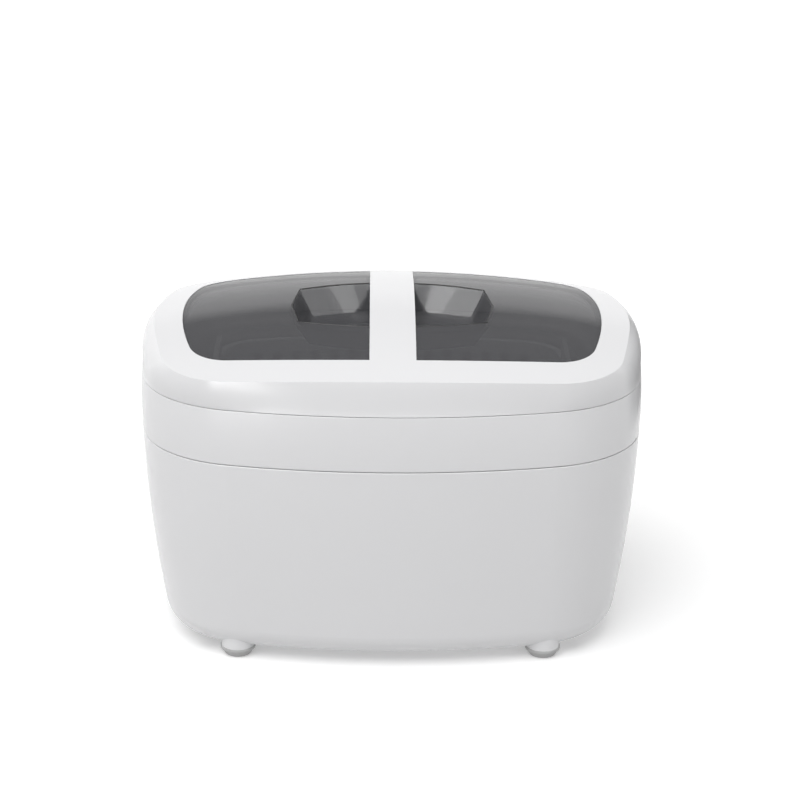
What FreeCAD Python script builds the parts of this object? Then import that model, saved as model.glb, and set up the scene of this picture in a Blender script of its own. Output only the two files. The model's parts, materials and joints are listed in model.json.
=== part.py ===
import FreeCAD, Part

# Ultrasonic cleaner: a free-standing bath with a lift-off lid, a basket and two bolted transducers.
# Millimetres, +Z up. The origin is on the surface that the cleaner stands on, under the middle of the
# case. -Y is the plain face, +Y the face with the controls, and +X the end with the mains inlet.

import math
import os
import re

import Sketcher
from FreeCAD import Placement, Rotation, Vector

SIZES = {
    # case outline at its widest, a rectangle whose sides are shallow arcs
    "half_width": 150.8,
    "half_depth": 112.0,
    "front_radius": 418.0,
    "side_radius": 260.0,
    "corner_radius": 68.0,
    # heights above the surface
    "floor_gap": 5.5,
    "lower_seam": 129.0,
    "upper_seam": 162.3,
    "crest": 198.7,
    # shells
    "wall": 2.6,
    "base_round": 17.5,
    "edge_round": 0.5,
    "seam_gap": 0.5,
    "case_taper": 6.7,
    "taper_top": 150.0,
    "rim_inset": 0.8,
    "part_gap": 0.3,
    "glue_gap": 0.1,
    # lid: the dome is a barrel, and its sides lean in as they rise
    "dome_radius_x": 867.0,
    "dome_radius_y": 363.0,
    "side_lean_start": 171.0,
    "side_lean": 0.0275,
    "side_inset": 0.95,
    "front_lean_start": 167.3,
    "front_lean": 0.0102,
    "front_inset": 2.1,
    "corner_tighten": 3.55,
    "front_flatten": 30.0,
    "side_round_up": 19.0,
    "barrel_depth": 60.0,
    "barrel_reach": 10.0,
    # lid window and its finger pocket
    "window_half_width": 125.5,
    "window_half_depth": 86.3,
    "window_front_radius": 577.0,
    "window_side_radius": 228.0,
    "window_corner_radius": 28.5,
    "window_thickness": 2.2,
    "window_lap": 5.0,
    "window_set": 0.3,
    "bar_half_width": 13.4,
    "bar_drop": 5.0,
    "grip_side": 1.5,
    "grip_end": 5.0,
    "pocket_half_width": 60.5,
    "pocket_corner_x": 56.5,
    "pocket_far": 34.0,
    "pocket_near": 48.0,
    "pocket_bow": 11.0,
    "pocket_middle": 10.0,
    "pocket_level": 196.5,
    "pocket_floor": 181.0,
    "pocket_slope": 0.5,
    # lid inner ring and screws
    "ring_drop": 9.0,
    "ring_wall": 2.2,
    "ring_gap": 1.0,
    "ring_reach": 5.0,
    "lid_screw_x": 60.0,
    "lid_screw_y": 96.0,
    "lid_screw_side": 135.0,
    "lid_screw_radius": 1.2,
    "lid_boss_radius": 3.5,
    # tank
    "tank_margin": 37.5,
    "tank_steel": 1.0,
    "tank_depth": 82.0,
    "tank_round": 12.0,
    "tank_flange": 8.0,
    "deck_height": 155.0,
    "gasket": 1.5,
    # basket
    "basket_gap": 5.0,
    "basket_wall": 2.0,
    "basket_lift": 5.0,
    "basket_drop": 7.0,
    "basket_slot": 5.0,
    "basket_pitch": 12.0,
    "handle_height": 15.0,
    "handle_half_width": 24.0,
    # housing screws, feet and vents
    "screw_x": 112.0,
    "screw_y": 68.0,
    "screw_boss_radius": 5.5,
    "screw_boss_top": 36.0,
    "screw_head_radius": 3.8,
    "screw_radius": 1.95,
    "screw_length": 19.0,
    "screw_well": 5.0,
    "screw_head_height": 3.0,
    "foot_x": 91.0,
    "foot_y": 77.0,
    "foot_radius": 10.5,
    "foot_stem_radius": 3.0,
    "foot_stem": 6.0,
    "foot_pad_inset": 0.5,
    "vent_width": 3.0,
    "vent_pitch": 7.0,
    # transducers
    "transducer_x": 60.0,
    "front_mass_radius": 22.0,
    "stack_radius": 17.5,
    "front_mass_height": 20.0,
    "piezo_height": 5.0,
    "electrode_height": 0.4,
    "back_mass_height": 14.0,
    "bolt_radius": 4.0,
    # heaters and sensors
    "heater_half_width": 58.0,
    "heater_low": 90.0,
    "heater_high": 126.0,
    "heater_thickness": 2.5,
    "sensor_y": 45.0,
    # main board
    "board_x": 84.0,
    "board_width": 42.0,
    "board_half_length": 48.0,
    "board_height": 14.0,
    "board_thickness": 1.6,
    "board_hole_inset": 3.5,
    "board_hole_radius": 1.6,
    "small_pilot_radius": 1.25,
    "small_screw_radius": 1.2,
    "small_head_radius": 2.6,
    "small_head_height": 1.8,
    "capacitor_radius": 9.0,
    "capacitor_height": 30.0,
    "capacitor_x": 19.5,
    "core_height": 26.0,
    "core_bar": 5.0,
    "coil_radius": 8.0,
    "coil_wire_radius": 4.0,
    "relay_height": 15.0,
    "heatsink_height": 30.0,
    "fin_pitch": 6.1,
    "fin_thickness": 1.5,
    "fuse_radius": 2.4,
    "fuse_x": 4.0,
    "fuse_axis": 4.0,
    "clip_width": 4.0,
    "connector_length": 10.0,
    "connector_height": 8.0,
    # fan
    "fan_half_size": 30.0,
    "fan_thickness": 15.0,
    "fan_hole_spacing": 25.0,
    "fan_post": 2.0,
    "fan_bore_radius": 28.2,
    "blade_radius": 27.2,
    "shaft_radius": 1.5,
    "hub_share": 0.46,
    "blade_thickness": 1.2,
    "blade_end_gap": 0.7,
    "spoke_half_width": 1.5,
    "spoke_thickness": 2.0,
    # mains inlet
    "inlet_y": 40.0,
    "inlet_z": 60.0,
    "inlet_seat": 136.5,
    "inlet_half_width": 13.5,
    "inlet_half_height": 10.0,
    "inlet_depth": 19.5,
    "inlet_flange": 2.5,
    "inlet_recess_half_width": 18.0,
    "inlet_recess_half_height": 15.0,
    "pin_half_width": 1.0,
    "pin_half_height": 2.0,
    "pin_length": 27.0,
    "pin_clearance": 0.05,
    # controls
    "panel_half_width": 36.0,
    "panel_low": 80.0,
    "panel_high": 118.0,
    "panel_seat": 106.0,
    "lens_half_width": 18.0,
    "lens_low": 101.0,
    "lens_high": 114.0,
    "button_spacing": 22.0,
    "button_z": 90.0,
    "button_radius": 5.0,
    "button_front": 110.4,
    "control_board_back": 94.4,
}

TINY = 0.01

doc = FreeCAD.newDocument("ultrasonic_cleaner")
sheet = doc.addObject("Spreadsheet::Sheet", "Sizes")
for row, (alias, size) in enumerate(SIZES.items(), start=1):
    sheet.set(f"A{row}", alias)
    sheet.set(f"B{row}", str(size))
    sheet.setAlias(f"B{row}", alias)
doc.recompute()


# ---------------------------------------------------------------- expressions

def cells(text):
    """Write each size's name in an expression as its cell in the sheet."""
    return re.sub(r"[a-z]\w*", lambda word: f"Sizes.{word[0]}" if word[0] in SIZES else word[0], str(text))


def value(text):
    """Work out an expression of the sheet's sizes now."""
    return float(sheet.evalExpression(str(text)))


def bind(item, prop, text):
    """Tie a property to an expression of the sheet's sizes."""
    item.setExpression(prop, cells(text))


def place(item, x="0", y="0", z="0"):
    """Tie an object's position to three expressions."""
    for axis, text in zip("xyz", (x, y, z)):
        bind(item, f"Placement.Base.{axis}", text)


# ---------------------------------------------------------------- plain solids and booleans

def box(name, x, y, z):
    """A block between three pairs of expressions."""
    item = doc.addObject("Part::Box", name)
    for prop, (low, high) in zip(("Length", "Width", "Height"), (x, y, z)):
        bind(item, prop, f"({high}) - ({low})")
    place(item, x[0], y[0], z[0])
    return item


def rod(name, radius, start, end, x="0", y="0", axis="z", top_radius=None):
    """A cylinder, or a cone with a top_radius, from start to end along Z, or along Y at height y."""
    if top_radius is None:
        item = doc.addObject("Part::Cylinder", name)
        bind(item, "Radius", radius)
    else:
        item = doc.addObject("Part::Cone", name)
        bind(item, "Radius1", radius)
        bind(item, "Radius2", top_radius)
    bind(item, "Height", f"({end}) - ({start})")
    if axis == "z":
        place(item, x, y, start)
    else:
        item.Placement = Placement(Vector(), Rotation(Vector(1, 0, 0), -90))
        place(item, x, start, y)
    return item


def cut(name, base, tool):
    """The base without the tool."""
    item = doc.addObject("Part::Cut", name)
    item.Base = base
    item.Tool = tool
    return item


def common(name, first, second):
    """What two solids share."""
    item = doc.addObject("Part::Common", name)
    item.Base = first
    item.Tool = second
    return item


def fuse(name, parts):
    """Several solids joined into one."""
    item = doc.addObject("Part::MultiFuse", name)
    item.Shapes = parts
    item.Refine = False
    return item


def group(name, parts):
    """Several solids kept apart in one object."""
    item = doc.addObject("Part::Compound", name)
    item.Links = parts
    return item


def mirrored(name, source, normal):
    """The mirror image of a solid across a plane through the origin."""
    item = doc.addObject("Part::Mirroring", name)
    item.Source = source
    item.Normal = normal
    return item


def left_and_right(name, source):
    """A solid and its copy on the other side of the middle."""
    return [source, mirrored(f"{name}_left", source, Vector(1, 0, 0))]


def four_corners(name, source):
    """A solid and its three copies, one in each quarter."""
    pair = left_and_right(name, source)
    return pair + [mirrored(f"{name}_back_{i}", item, Vector(0, 1, 0)) for i, item in enumerate(pair)]


# ---------------------------------------------------------------- bowed outlines

class Outline:
    """A rectangle with bowed sides: two long arcs, two side arcs and four corner arcs, all tangent."""

    def __init__(self, half_x, half_y, front, side, corner):
        self.half_x = half_x
        self.half_y = half_y
        self.front = front
        self.side = side
        self.corner = corner

    def inset(self, by):
        """The parallel outline inside this one."""
        return Outline(*(f"({text}) - ({by})" for text in
                         (self.half_x, self.half_y, self.front, self.side, self.corner)))

    def corner_arc(self):
        """The centre of the corner arc in the quarter +X, -Y, and the angles where it ends."""
        half_x, half_y, front, side, corner = (value(text) for text in
                                               (self.half_x, self.half_y, self.front, self.side, self.corner))
        front_centre = Vector(0, front - half_y)
        side_centre = Vector(half_x - side, 0)
        along = side_centre - front_centre
        reach = ((front - corner) ** 2 - (side - corner) ** 2 + along.Length ** 2) / (2 * along.Length)
        height = math.sqrt((front - corner) ** 2 - reach ** 2)
        step = along / along.Length
        foot = front_centre + step * reach
        across = Vector(-step.y, step.x) * height
        centre = max(foot + across, foot - across, key=lambda point: point.x - point.y)
        ends = [math.atan2(centre.y - other.y, centre.x - other.x) for other in (front_centre, side_centre)]
        return centre, ends[0], ends[1]


def add_outline(sketch, outline):
    """Draw an outline in a sketch as eight tangent arcs, with its sizes tied to the sheet."""
    corner, low, high = outline.corner_arc()
    front, side, rim = (value(text) for text in (outline.front, outline.side, outline.corner))
    front_y = front - value(outline.half_y)
    side_x = value(outline.half_x) - side
    half_turn = math.pi
    arcs = [
        (0, front_y, front, -half_turn - low, low),
        (corner.x, corner.y, rim, low, high),
        (side_x, 0, side, high, -high),
        (corner.x, -corner.y, rim, -high, -low),
        (0, -front_y, front, -low, half_turn + low),
        (-corner.x, -corner.y, rim, half_turn + low, half_turn + high),
        (-side_x, 0, side, half_turn + high, half_turn - high),
        (-corner.x, corner.y, rim, half_turn - high, half_turn - low),
    ]
    first = sketch.GeometryCount
    for x, y, radius, start, end in arcs:
        sweep = (end - start) % (2 * math.pi)
        circle = Part.Circle(Vector(x, y, 0), Vector(0, 0, 1), radius)
        sketch.addGeometry(Part.ArcOfCircle(circle, start, start + sweep))
    for i in range(8):
        sketch.addConstraint(Sketcher.Constraint("Tangent", first + i, 2, first + (i + 1) % 8, 1))
    for i in range(8):
        text = (outline.front, outline.corner, outline.side, outline.corner)[i % 4]
        named_constraint(sketch, text, "Radius", first + i)
    for i, axis, text in ((0, -2, f"({outline.front}) - ({outline.half_y})"),
                          (2, -1, f"({outline.half_x}) - ({outline.side})"),
                          (4, -2, f"({outline.half_y}) - ({outline.front})"),
                          (6, -1, f"({outline.side}) - ({outline.half_x})")):
        sketch.addConstraint(Sketcher.Constraint("PointOnObject", first + i, 3, axis))
        direction = "DistanceY" if axis == -2 else "DistanceX"
        named_constraint(sketch, text, direction, -1, 1, first + i, 3)


def named_constraint(sketch, text, kind, *where):
    """Add a sized constraint and tie its size to an expression."""
    index = sketch.addConstraint(Sketcher.Constraint(kind, *where, value(text)))
    bind(sketch, f"Constraints[{index}]", text)


def new_body(name):
    """An empty PartDesign body."""
    return doc.addObject("PartDesign::Body", name)


def sketch_on(body, name, plane="XY_Plane", height="0"):
    """A sketch on one of its body's own planes, raised to a height above it."""
    sketch = body.newObject("Sketcher::SketchObject", name)
    origin = next(item for item in body.Origin.OriginFeatures if item.Role == plane)
    sketch.AttachmentSupport = [(origin, "")]
    sketch.MapMode = "FlatFace"
    bind(sketch, "AttachmentOffset.Base.z", height)
    return sketch


def prism(name, outlines, low, high, body=None):
    """A pad between two heights inside one outline, or between two where it is a ring."""
    body = body or new_body(name)
    sketch = sketch_on(body, f"{name}_outline", height=low)
    for outline in outlines:
        add_outline(sketch, outline)
    pad = body.newObject("PartDesign::Pad", f"{name}_pad")
    pad.Profile = sketch
    bind(pad, "Length", f"({high}) - ({low})")
    return body


def level_edges(shape, height):
    """The names of a shape's level edges that lie at one height."""
    return [f"Edge{i}" for i, edge in enumerate(shape.Edges, start=1)
            if edge.BoundBox.ZMin > height - TINY and edge.BoundBox.ZMax < height + TINY]


def round_level(body, name, level, radius):
    """Round every edge of a body that lies at one height."""
    doc.recompute()
    base = body.Tip
    height = value(level)
    edges = level_edges(body.Shape, height)
    fillet = body.newObject("PartDesign::Fillet", name)
    fillet.Base = (base, edges)
    bind(fillet, "Radius", radius)


def loft(name, stations, rounds=()):
    """A body lofted down through outlines given at rising heights, with the edges at some heights rounded."""
    body = new_body(name)
    sketches = []
    for i, (height, outline) in enumerate(reversed(stations)):
        sketch = sketch_on(body, f"{name}_station_{i}", height=height)
        add_outline(sketch, outline)
        sketches.append(sketch)
    lofted = body.newObject("PartDesign::AdditiveLoft", f"{name}_loft")
    lofted.Profile = sketches[0]
    lofted.Sections = sketches[1:]
    for i, (level, radius) in enumerate(rounds):
        round_level(body, f"{name}_round_{i}", level, radius)
    return body


CASE = Outline("half_width", "half_depth", "front_radius", "side_radius", "corner_radius")
WINDOW = Outline("window_half_width", "window_half_depth", "window_front_radius",
                 "window_side_radius", "window_corner_radius")
TANK = CASE.inset("tank_margin")

CASE_TOP = "lower_seam - seam_gap / 2"
RING_LOW = "lower_seam + seam_gap / 2"
RING_HIGH = "upper_seam - seam_gap / 2"
LID_LOW = "upper_seam + seam_gap / 2"
TANK_RIM = "deck_height + gasket + tank_steel"
TANK_FLOOR = f"{TANK_RIM} - tank_depth"
TANK_BASE = f"{TANK_FLOOR} - tank_steel"
BASE_TOP = "floor_gap + wall"
BOARD_TOP = "board_height + board_thickness"


def case_inset(height):
    """How far the case's outline draws in at a height."""
    return f"case_taper * ((taper_top - ({height})) / 100) ^ 2"


# ---------------------------------------------------------------- lower housing

def lower_shape(name, inset, low, high, rounds):
    """The bucket of the lower housing, drawn in by an inset."""
    stations = []
    for share in (0, 0.2, 0.45, 0.7, 1):
        height = f"{low} + ({high} - ({low})) * {share}"
        stations.append((height, CASE.inset(f"{case_inset(height)} + {inset}")))
    return loft(name, stations, rounds)


def lower_housing():
    """The bucket with its bosses, seats and vents."""
    outer = lower_shape("lower_outer", "0", "floor_gap", CASE_TOP,
                        (("floor_gap", "base_round"), (CASE_TOP, "edge_round")))
    pads = four_corners("foot_pad", rod("foot_pad", "foot_radius - foot_pad_inset", "floor_gap",
                                        "floor_gap + foot_stem + wall", "foot_x", "-foot_y"))
    outside = fuse("lower_outside", [outer] + pads)

    room = lower_shape("lower_room", "wall", BASE_TOP, "lower_seam + wall",
                       ((BASE_TOP, "base_round - wall"),))
    bosses = four_corners("screw_boss", rod("screw_boss", "screw_boss_radius", "0", "screw_boss_top",
                                            "screw_x", "-screw_y"))
    bosses += four_corners("foot_boss", rod("foot_boss", "foot_stem_radius + wall", "0",
                                            "floor_gap + foot_stem + wall", "foot_x", "-foot_y"))
    bosses += four_corners("fan_post", rod("fan_post", "4", "0", f"{BASE_TOP} + fan_post",
                                           "fan_hole_spacing", "-fan_hole_spacing"))
    for i, (x, y) in enumerate(board_corners()):
        bosses.append(rod(f"board_post_{i}", "board_hole_inset - 0.5", "0", "board_height", x, y))
    bosses.append(inlet_recess("inlet_block", ("inlet_seat - wall", "half_width"), "wall"))
    bosses.append(box("control_block", ("-panel_half_width - wall", "panel_half_width + wall"),
                      ("panel_seat - wall", "half_depth"), ("panel_low - wall", "panel_high + wall")))
    for i, (x, z) in enumerate(control_board_holes()):
        bosses.append(rod(f"control_post_{i}", "3", "control_board_back + board_thickness",
                          "half_depth - wall", x, z, axis="y"))
    inside = cut("lower_inside", room, fuse("lower_bosses", bosses))

    holes = four_corners("screw_well", rod("screw_well", "screw_head_radius + 0.6", "0",
                                           "screw_boss_top - screw_well", "screw_x", "-screw_y"))
    holes += four_corners("screw_bore", rod("screw_bore", "screw_radius + 0.25", "0",
                                            "screw_boss_top + 1", "screw_x", "-screw_y"))
    holes += four_corners("foot_socket", rod("foot_socket", "foot_stem_radius + 0.1", "0",
                                             "floor_gap + foot_stem + part_gap", "foot_x", "-foot_y"))
    pilot = rod("fan_pilot", "1.5", "floor_gap + 1.2", f"{BASE_TOP} + fan_post + 1",
                "fan_hole_spacing", "-fan_hole_spacing")
    holes += four_corners("fan_pilot", pilot)
    for i, (x, y) in enumerate(board_corners()):
        holes.append(rod(f"board_pilot_{i}", "small_pilot_radius", "board_height - 6", "board_height + 1",
                         x, y))
    for i in range(-3, 4):
        holes.append(box(f"fan_vent_{i + 3}", (f"vent_pitch * {i} - vent_width / 2",
                                               f"vent_pitch * {i} + vent_width / 2"),
                         ("-fan_bore_radius + 5", "fan_bore_radius - 5"), ("0", f"{BASE_TOP} + 1")))
    for i in range(6):
        holes.append(box(f"end_vent_{i}", (f"-screw_x + 2 + vent_pitch * {i}",
                                           f"-screw_x + 2 + vent_pitch * {i} + vent_width"),
                         ("-22", "22"), ("0", f"{BASE_TOP} + 6")))
    holes.append(inlet_recess("inlet_recess", ("inlet_seat", "half_width + 1"), "0"))
    holes.append(around_inlet("inlet_cutout", ("wall + 1", "1"), "part_gap"))
    holes.append(box("panel_recess", ("-panel_half_width", "panel_half_width"),
                     ("panel_seat", "half_depth + 1"), ("panel_low", "panel_high")))
    holes.append(box("display_cutout", ("-lens_half_width", "lens_half_width"),
                     ("panel_seat - wall - 1", "panel_seat + 1"), ("lens_low", "lens_high")))
    for i in (-1, 0, 1):
        holes.append(rod(f"button_bore_{i + 1}", "button_radius + part_gap", "panel_seat - wall - 1",
                         "panel_seat + 1", f"button_spacing * {i}", "button_z", axis="y"))
    for i, (x, z) in enumerate(control_board_holes()):
        holes.append(rod(f"control_pilot_{i}", "small_pilot_radius", "control_board_back",
                         "control_board_back + board_thickness + 6", x, z, axis="y"))
    shell = cut("lower_shell", outside, inside)
    return cut("lower_housing", shell, fuse("lower_holes", holes))


def inlet_recess(name, x, margin):
    """The block of the recess around the mains inlet, with a margin."""
    half_y = f"inlet_recess_half_width + {margin}"
    half_z = f"inlet_recess_half_height + {margin}"
    return box(name, x, (f"inlet_y - ({half_y})", f"inlet_y + {half_y}"),
               (f"inlet_z - ({half_z})", f"inlet_z + {half_z}"))


def board_corners():
    """The main board's four screw holes."""
    near = "board_x + board_hole_inset"
    far = "board_x + board_width - board_hole_inset"
    side = "board_half_length - board_hole_inset"
    return [(x, y) for x in (near, far) for y in (f"-({side})", side)]


def control_board_holes():
    """The control board's four screw holes, as X and Z."""
    side = "panel_half_width - 4"
    return [(x, z) for x in (f"-({side})", side) for z in ("panel_low + 4", "panel_high - 4")]


# ---------------------------------------------------------------- upper housing, tank and gasket

def upper_shape(name, inset, low, high, rounds=()):
    """The ring of the upper housing, drawn in by an inset."""
    stations = [(low, CASE.inset(f"{case_inset(RING_LOW)} + {inset}")),
                ("(lower_seam + upper_seam) / 2", CASE.inset(inset)),
                (high, CASE.inset(f"rim_inset + {inset}"))]
    return loft(name, stations, rounds)


def upper_housing():
    """The ring with its tongue, its deck around the tank and four screw pillars."""
    outer = upper_shape("upper_outer", "0", RING_LOW, RING_HIGH,
                        ((RING_LOW, "edge_round"), (RING_HIGH, "edge_round")))
    room = upper_shape("upper_room", "wall", f"{RING_LOW} - 1", f"{RING_HIGH} + 1")
    shell = cut("upper_shell", outer, room)
    tongue_face = f"{case_inset(RING_LOW)} + wall + part_gap"
    root = prism("tongue_root", (CASE.inset("wall / 2 + rim_inset"), CASE.inset(f"{tongue_face} + 2")),
                 f"{RING_LOW} + 0.5", f"{RING_LOW} + 3")
    tongue = prism("tongue", (CASE.inset(tongue_face), CASE.inset(f"{tongue_face} + 2")),
                   "lower_seam - 5", f"{RING_LOW} + 2")
    deck = prism("deck", (CASE.inset("wall / 2 + rim_inset"), TANK.inset("-tank_steel - 1")),
                 "deck_height - wall", "deck_height")
    pillars = four_corners("pillar", rod("pillar", "screw_boss_radius - 1", "screw_boss_top",
                                         "deck_height - wall / 2", "screw_x", "-screw_y"))
    bores = four_corners("pillar_bore", rod("pillar_bore", "screw_radius + 0.05", "screw_boss_top - 1",
                                            "screw_boss_top + screw_length", "screw_x", "-screw_y"))
    whole = fuse("upper_whole", [shell, root, tongue, deck] + pillars)
    return cut("upper_housing", whole, fuse("upper_bores", bores))


def tank():
    """The pressed steel tank, hung by its flange."""
    outside = TANK.inset("-tank_steel")
    body = prism("tank_outside", (outside,), TANK_BASE, TANK_RIM)
    round_level(body, "tank_base_round", TANK_BASE, "tank_round + tank_steel")
    prism("tank_flange", (outside.inset("-tank_flange"),), f"{TANK_RIM} - tank_steel", TANK_RIM, body)
    inside = prism("tank_inside", (TANK,), TANK_FLOOR, f"{TANK_RIM} + 1")
    round_level(inside, "tank_inside_round", TANK_FLOOR, "tank_round")
    return cut("tank", body, inside)


def tank_gasket():
    """The silicone ring between the tank's flange and the deck."""
    return prism("tank_gasket", (TANK.inset("-tank_steel - tank_flange"), TANK.inset("-tank_steel - 0.5")),
                 "deck_height", "deck_height + gasket")


# ---------------------------------------------------------------- lid

def dome(name, drop):
    """A barrel whose top is the lid's dome, lowered by a drop."""
    body = new_body(name)
    axis_height = "crest - dome_radius_y"
    sketch = sketch_on(body, f"{name}_profile", "XZ_Plane")
    bind(sketch, "AttachmentOffset.Base.y", axis_height)
    half = value("half_width + barrel_reach")
    radius = value(f"dome_radius_x - ({drop})")
    centre_y = value("dome_radius_y - dome_radius_x")
    foot = value("dome_radius_y - barrel_depth")
    edge_y = centre_y + math.sqrt(radius ** 2 - half ** 2)
    angle = math.asin(half / radius)
    circle = Part.Circle(Vector(0, centre_y, 0), Vector(0, 0, 1), radius)
    sketch.addGeometry(Part.ArcOfCircle(circle, math.pi / 2 - angle, math.pi / 2 + angle))
    corners = [Vector(-half, edge_y, 0), Vector(-half, foot, 0), Vector(half, foot, 0),
               Vector(half, edge_y, 0)]
    for start, end in zip(corners, corners[1:]):
        sketch.addGeometry(Part.LineSegment(start, end))
    for first, last in ((0, 1), (1, 2), (2, 3), (3, 0)):
        sketch.addConstraint(Sketcher.Constraint("Coincident", first, 2, last, 1))
    sketch.addConstraint(Sketcher.Constraint("Vertical", 1))
    sketch.addConstraint(Sketcher.Constraint("Horizontal", 2))
    sketch.addConstraint(Sketcher.Constraint("Vertical", 3))
    sketch.addConstraint(Sketcher.Constraint("PointOnObject", 0, 3, -2))
    named_constraint(sketch, f"dome_radius_x - ({drop})", "Radius", 0)
    named_constraint(sketch, "dome_radius_y - dome_radius_x", "DistanceY", -1, 1, 0, 3)
    named_constraint(sketch, "dome_radius_y - barrel_depth", "DistanceY", -1, 1, 2, 1)
    named_constraint(sketch, "-half_width - barrel_reach", "DistanceX", -1, 1, 2, 1)
    named_constraint(sketch, "half_width + barrel_reach", "DistanceX", -1, 1, 2, 2)
    barrel = body.newObject("PartDesign::Revolution", f"{name}_barrel")
    barrel.Profile = sketch
    barrel.ReferenceAxis = (sketch, ["H_Axis"])
    barrel.Angle = 60
    barrel.Midplane = True
    return body


def slab(name, top, bottom):
    """The layer between two drops below the dome."""
    return cut(name, dome(f"{name}_top", top), dome(f"{name}_bottom", bottom))


def dome_height(x, y, drop="0"):
    """The height of the dome, lowered by a drop, over a point."""
    arc = f"sqrt((dome_radius_x - ({drop})) ^ 2 - ({x}) ^ 2)"
    return f"crest - dome_radius_y + sqrt((dome_radius_y - dome_radius_x + {arc}) ^ 2 - ({y}) ^ 2)"


def lid_side(name, inset, low):
    """The lid's side walls, drawn in by an inset and running up past the dome."""
    stations = [(low, CASE.inset(f"rim_inset + {inset}"))]
    for height in ("side_lean_start", "side_lean_start + 5", "side_lean_start + 11", "side_lean_start + 17"):
        lean_x = f"side_inset + side_lean * ({height} - side_lean_start) ^ 2 + {inset}"
        lean_y = f"front_inset + front_lean * ({height} - front_lean_start) ^ 2"
        stations.append((height, Outline(
            f"half_width - ({lean_x})",
            f"half_depth - ({lean_y}) - ({inset})",
            f"front_radius + front_flatten * ({lean_y}) - ({inset})",
            f"side_radius - side_round_up * ({lean_y}) - ({inset})",
            f"corner_radius - corner_tighten * ({lean_y}) - ({inset})")))
    top = stations[-1][1]
    stations.append(("side_lean_start + 29", Outline(f"{top.half_x} - 12", f"{top.half_y} - 8", top.front,
                                                     top.side, top.corner)))
    return loft(name, stations)


def window_openings(name, clearance):
    """The two window openings, left and right of the bar, as prisms through the lid."""
    body = prism(name, (WINDOW.inset(clearance),), "upper_seam", "crest + 10")
    bar = box(f"{name}_bar", (f"-bar_half_width - ({clearance})", f"bar_half_width + ({clearance})"),
              ("-half_depth", "half_depth"), ("upper_seam - 1", "crest + 11"))
    return cut(f"{name}_pair", body, bar)


def lid_screw_places():
    """Where the lid's screws are: four near the long sides and two at the ends."""
    return [("lid_screw_x", "-lid_screw_y"), ("-lid_screw_x", "-lid_screw_y"), ("lid_screw_x", "lid_screw_y"),
            ("-lid_screw_x", "lid_screw_y"), ("lid_screw_side", "0"), ("-lid_screw_side", "0")]


def lid_frame():
    """The white domed lid with its two openings, its bridge and its screw bosses."""
    outer = common("lid_outer", lid_side("lid_outer_side", "0", LID_LOW),
                   dome("lid_outer_dome", "0"))
    room = common("lid_room", lid_side("lid_room_side", "wall", f"{LID_LOW} - 1"),
                  dome("lid_room_dome", "wall"))
    shell = cut("lid_shell", outer, room)
    columns = [rod(f"lid_column_{i}", "lid_boss_radius", "upper_seam", "crest", x, y)
               for i, (x, y) in enumerate(lid_screw_places())]
    bosses = common("lid_bosses", group("lid_columns", columns),
                    slab("boss_layer", "wall / 2", "ring_drop - glue_gap"))
    bar = box("grip_bar", ("-bar_half_width + grip_side", "bar_half_width - grip_side"),
              ("-pocket_near + grip_end", "pocket_far - grip_end"), ("upper_seam", "crest"))
    grip = common("grip", bar, slab("grip_layer", "wall / 2", "bar_drop"))
    holes = [rod(f"lid_pilot_{i}", "lid_screw_radius + 0.05", "upper_seam",
                 dome_height(x, y, "wall + 1.5"), x, y) for i, (x, y) in enumerate(lid_screw_places())]
    whole = fuse("lid_whole", [cut("lid_open", shell, window_openings("window_opening", "0")), bosses, grip])
    return cut("lid_frame", whole, fuse("lid_pilots", holes))


def add_pocket(sketch, inset):
    """Draw the finger pocket's outline, drawn in by an inset: bowed long sides and pointed ends."""
    tip = f"pocket_half_width - 1.1 * ({inset})"
    corner = f"pocket_corner_x - 1.1 * ({inset})"
    far = f"pocket_far - ({inset})"
    near = f"pocket_near - ({inset})"
    tip_x, corner_x, far_y, near_y = (value(text) for text in (tip, corner, far, near))
    bow = value("pocket_bow")
    middle = -value("pocket_middle")
    points = [Vector(-corner_x, bow - near_y, 0), Vector(corner_x, bow - near_y, 0), Vector(tip_x, middle, 0),
              Vector(corner_x, far_y - bow, 0), Vector(-corner_x, far_y - bow, 0), Vector(-tip_x, middle, 0)]
    near_arc = Part.Arc(points[0], Vector(0, -near_y, 0), points[1])
    far_arc = Part.Arc(points[3], Vector(0, far_y, 0), points[4])
    edges = [near_arc, Part.LineSegment(points[1], points[2]), Part.LineSegment(points[2], points[3]),
             far_arc, Part.LineSegment(points[4], points[5]), Part.LineSegment(points[5], points[0])]
    for edge in edges:
        sketch.addGeometry(edge)
    for i in range(6):
        sketch.addConstraint(Sketcher.Constraint("Coincident", i, 2, (i + 1) % 6, 1))
    near_corner = f"pocket_bow - ({near})"
    far_corner = f"({far}) - pocket_bow"
    for i, end, x, y in ((0, 1, f"-({corner})", near_corner), (0, 2, corner, near_corner),
                         (2, 1, tip, "-pocket_middle"), (3, 1, corner, far_corner),
                         (3, 2, f"-({corner})", far_corner), (5, 1, f"-({tip})", "-pocket_middle")):
        named_constraint(sketch, x, "DistanceX", -1, 1, i, end)
        named_constraint(sketch, y, "DistanceY", -1, 1, i, end)
    for i in (0, 3):
        named_constraint(sketch, f"(({corner}) ^ 2 + pocket_bow ^ 2) / (2 * pocket_bow)", "Radius", i)


def pocket_solid(name, outset, low):
    """The finger pocket as a tapered solid, drawn out by an outset and running up past the dome."""
    body = new_body(name)
    sketches = []
    for i, height in enumerate((low, "crest + 6")):
        sketch = sketch_on(body, f"{name}_level_{i}", height=height)
        add_pocket(sketch, f"pocket_slope * (pocket_level - ({height})) - ({outset})")
        sketches.append(sketch)
    lofted = body.newObject("PartDesign::AdditiveLoft", f"{name}_loft")
    lofted.Profile = sketches[0]
    lofted.Sections = sketches[1:]
    lofted.Ruled = True
    return body


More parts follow.
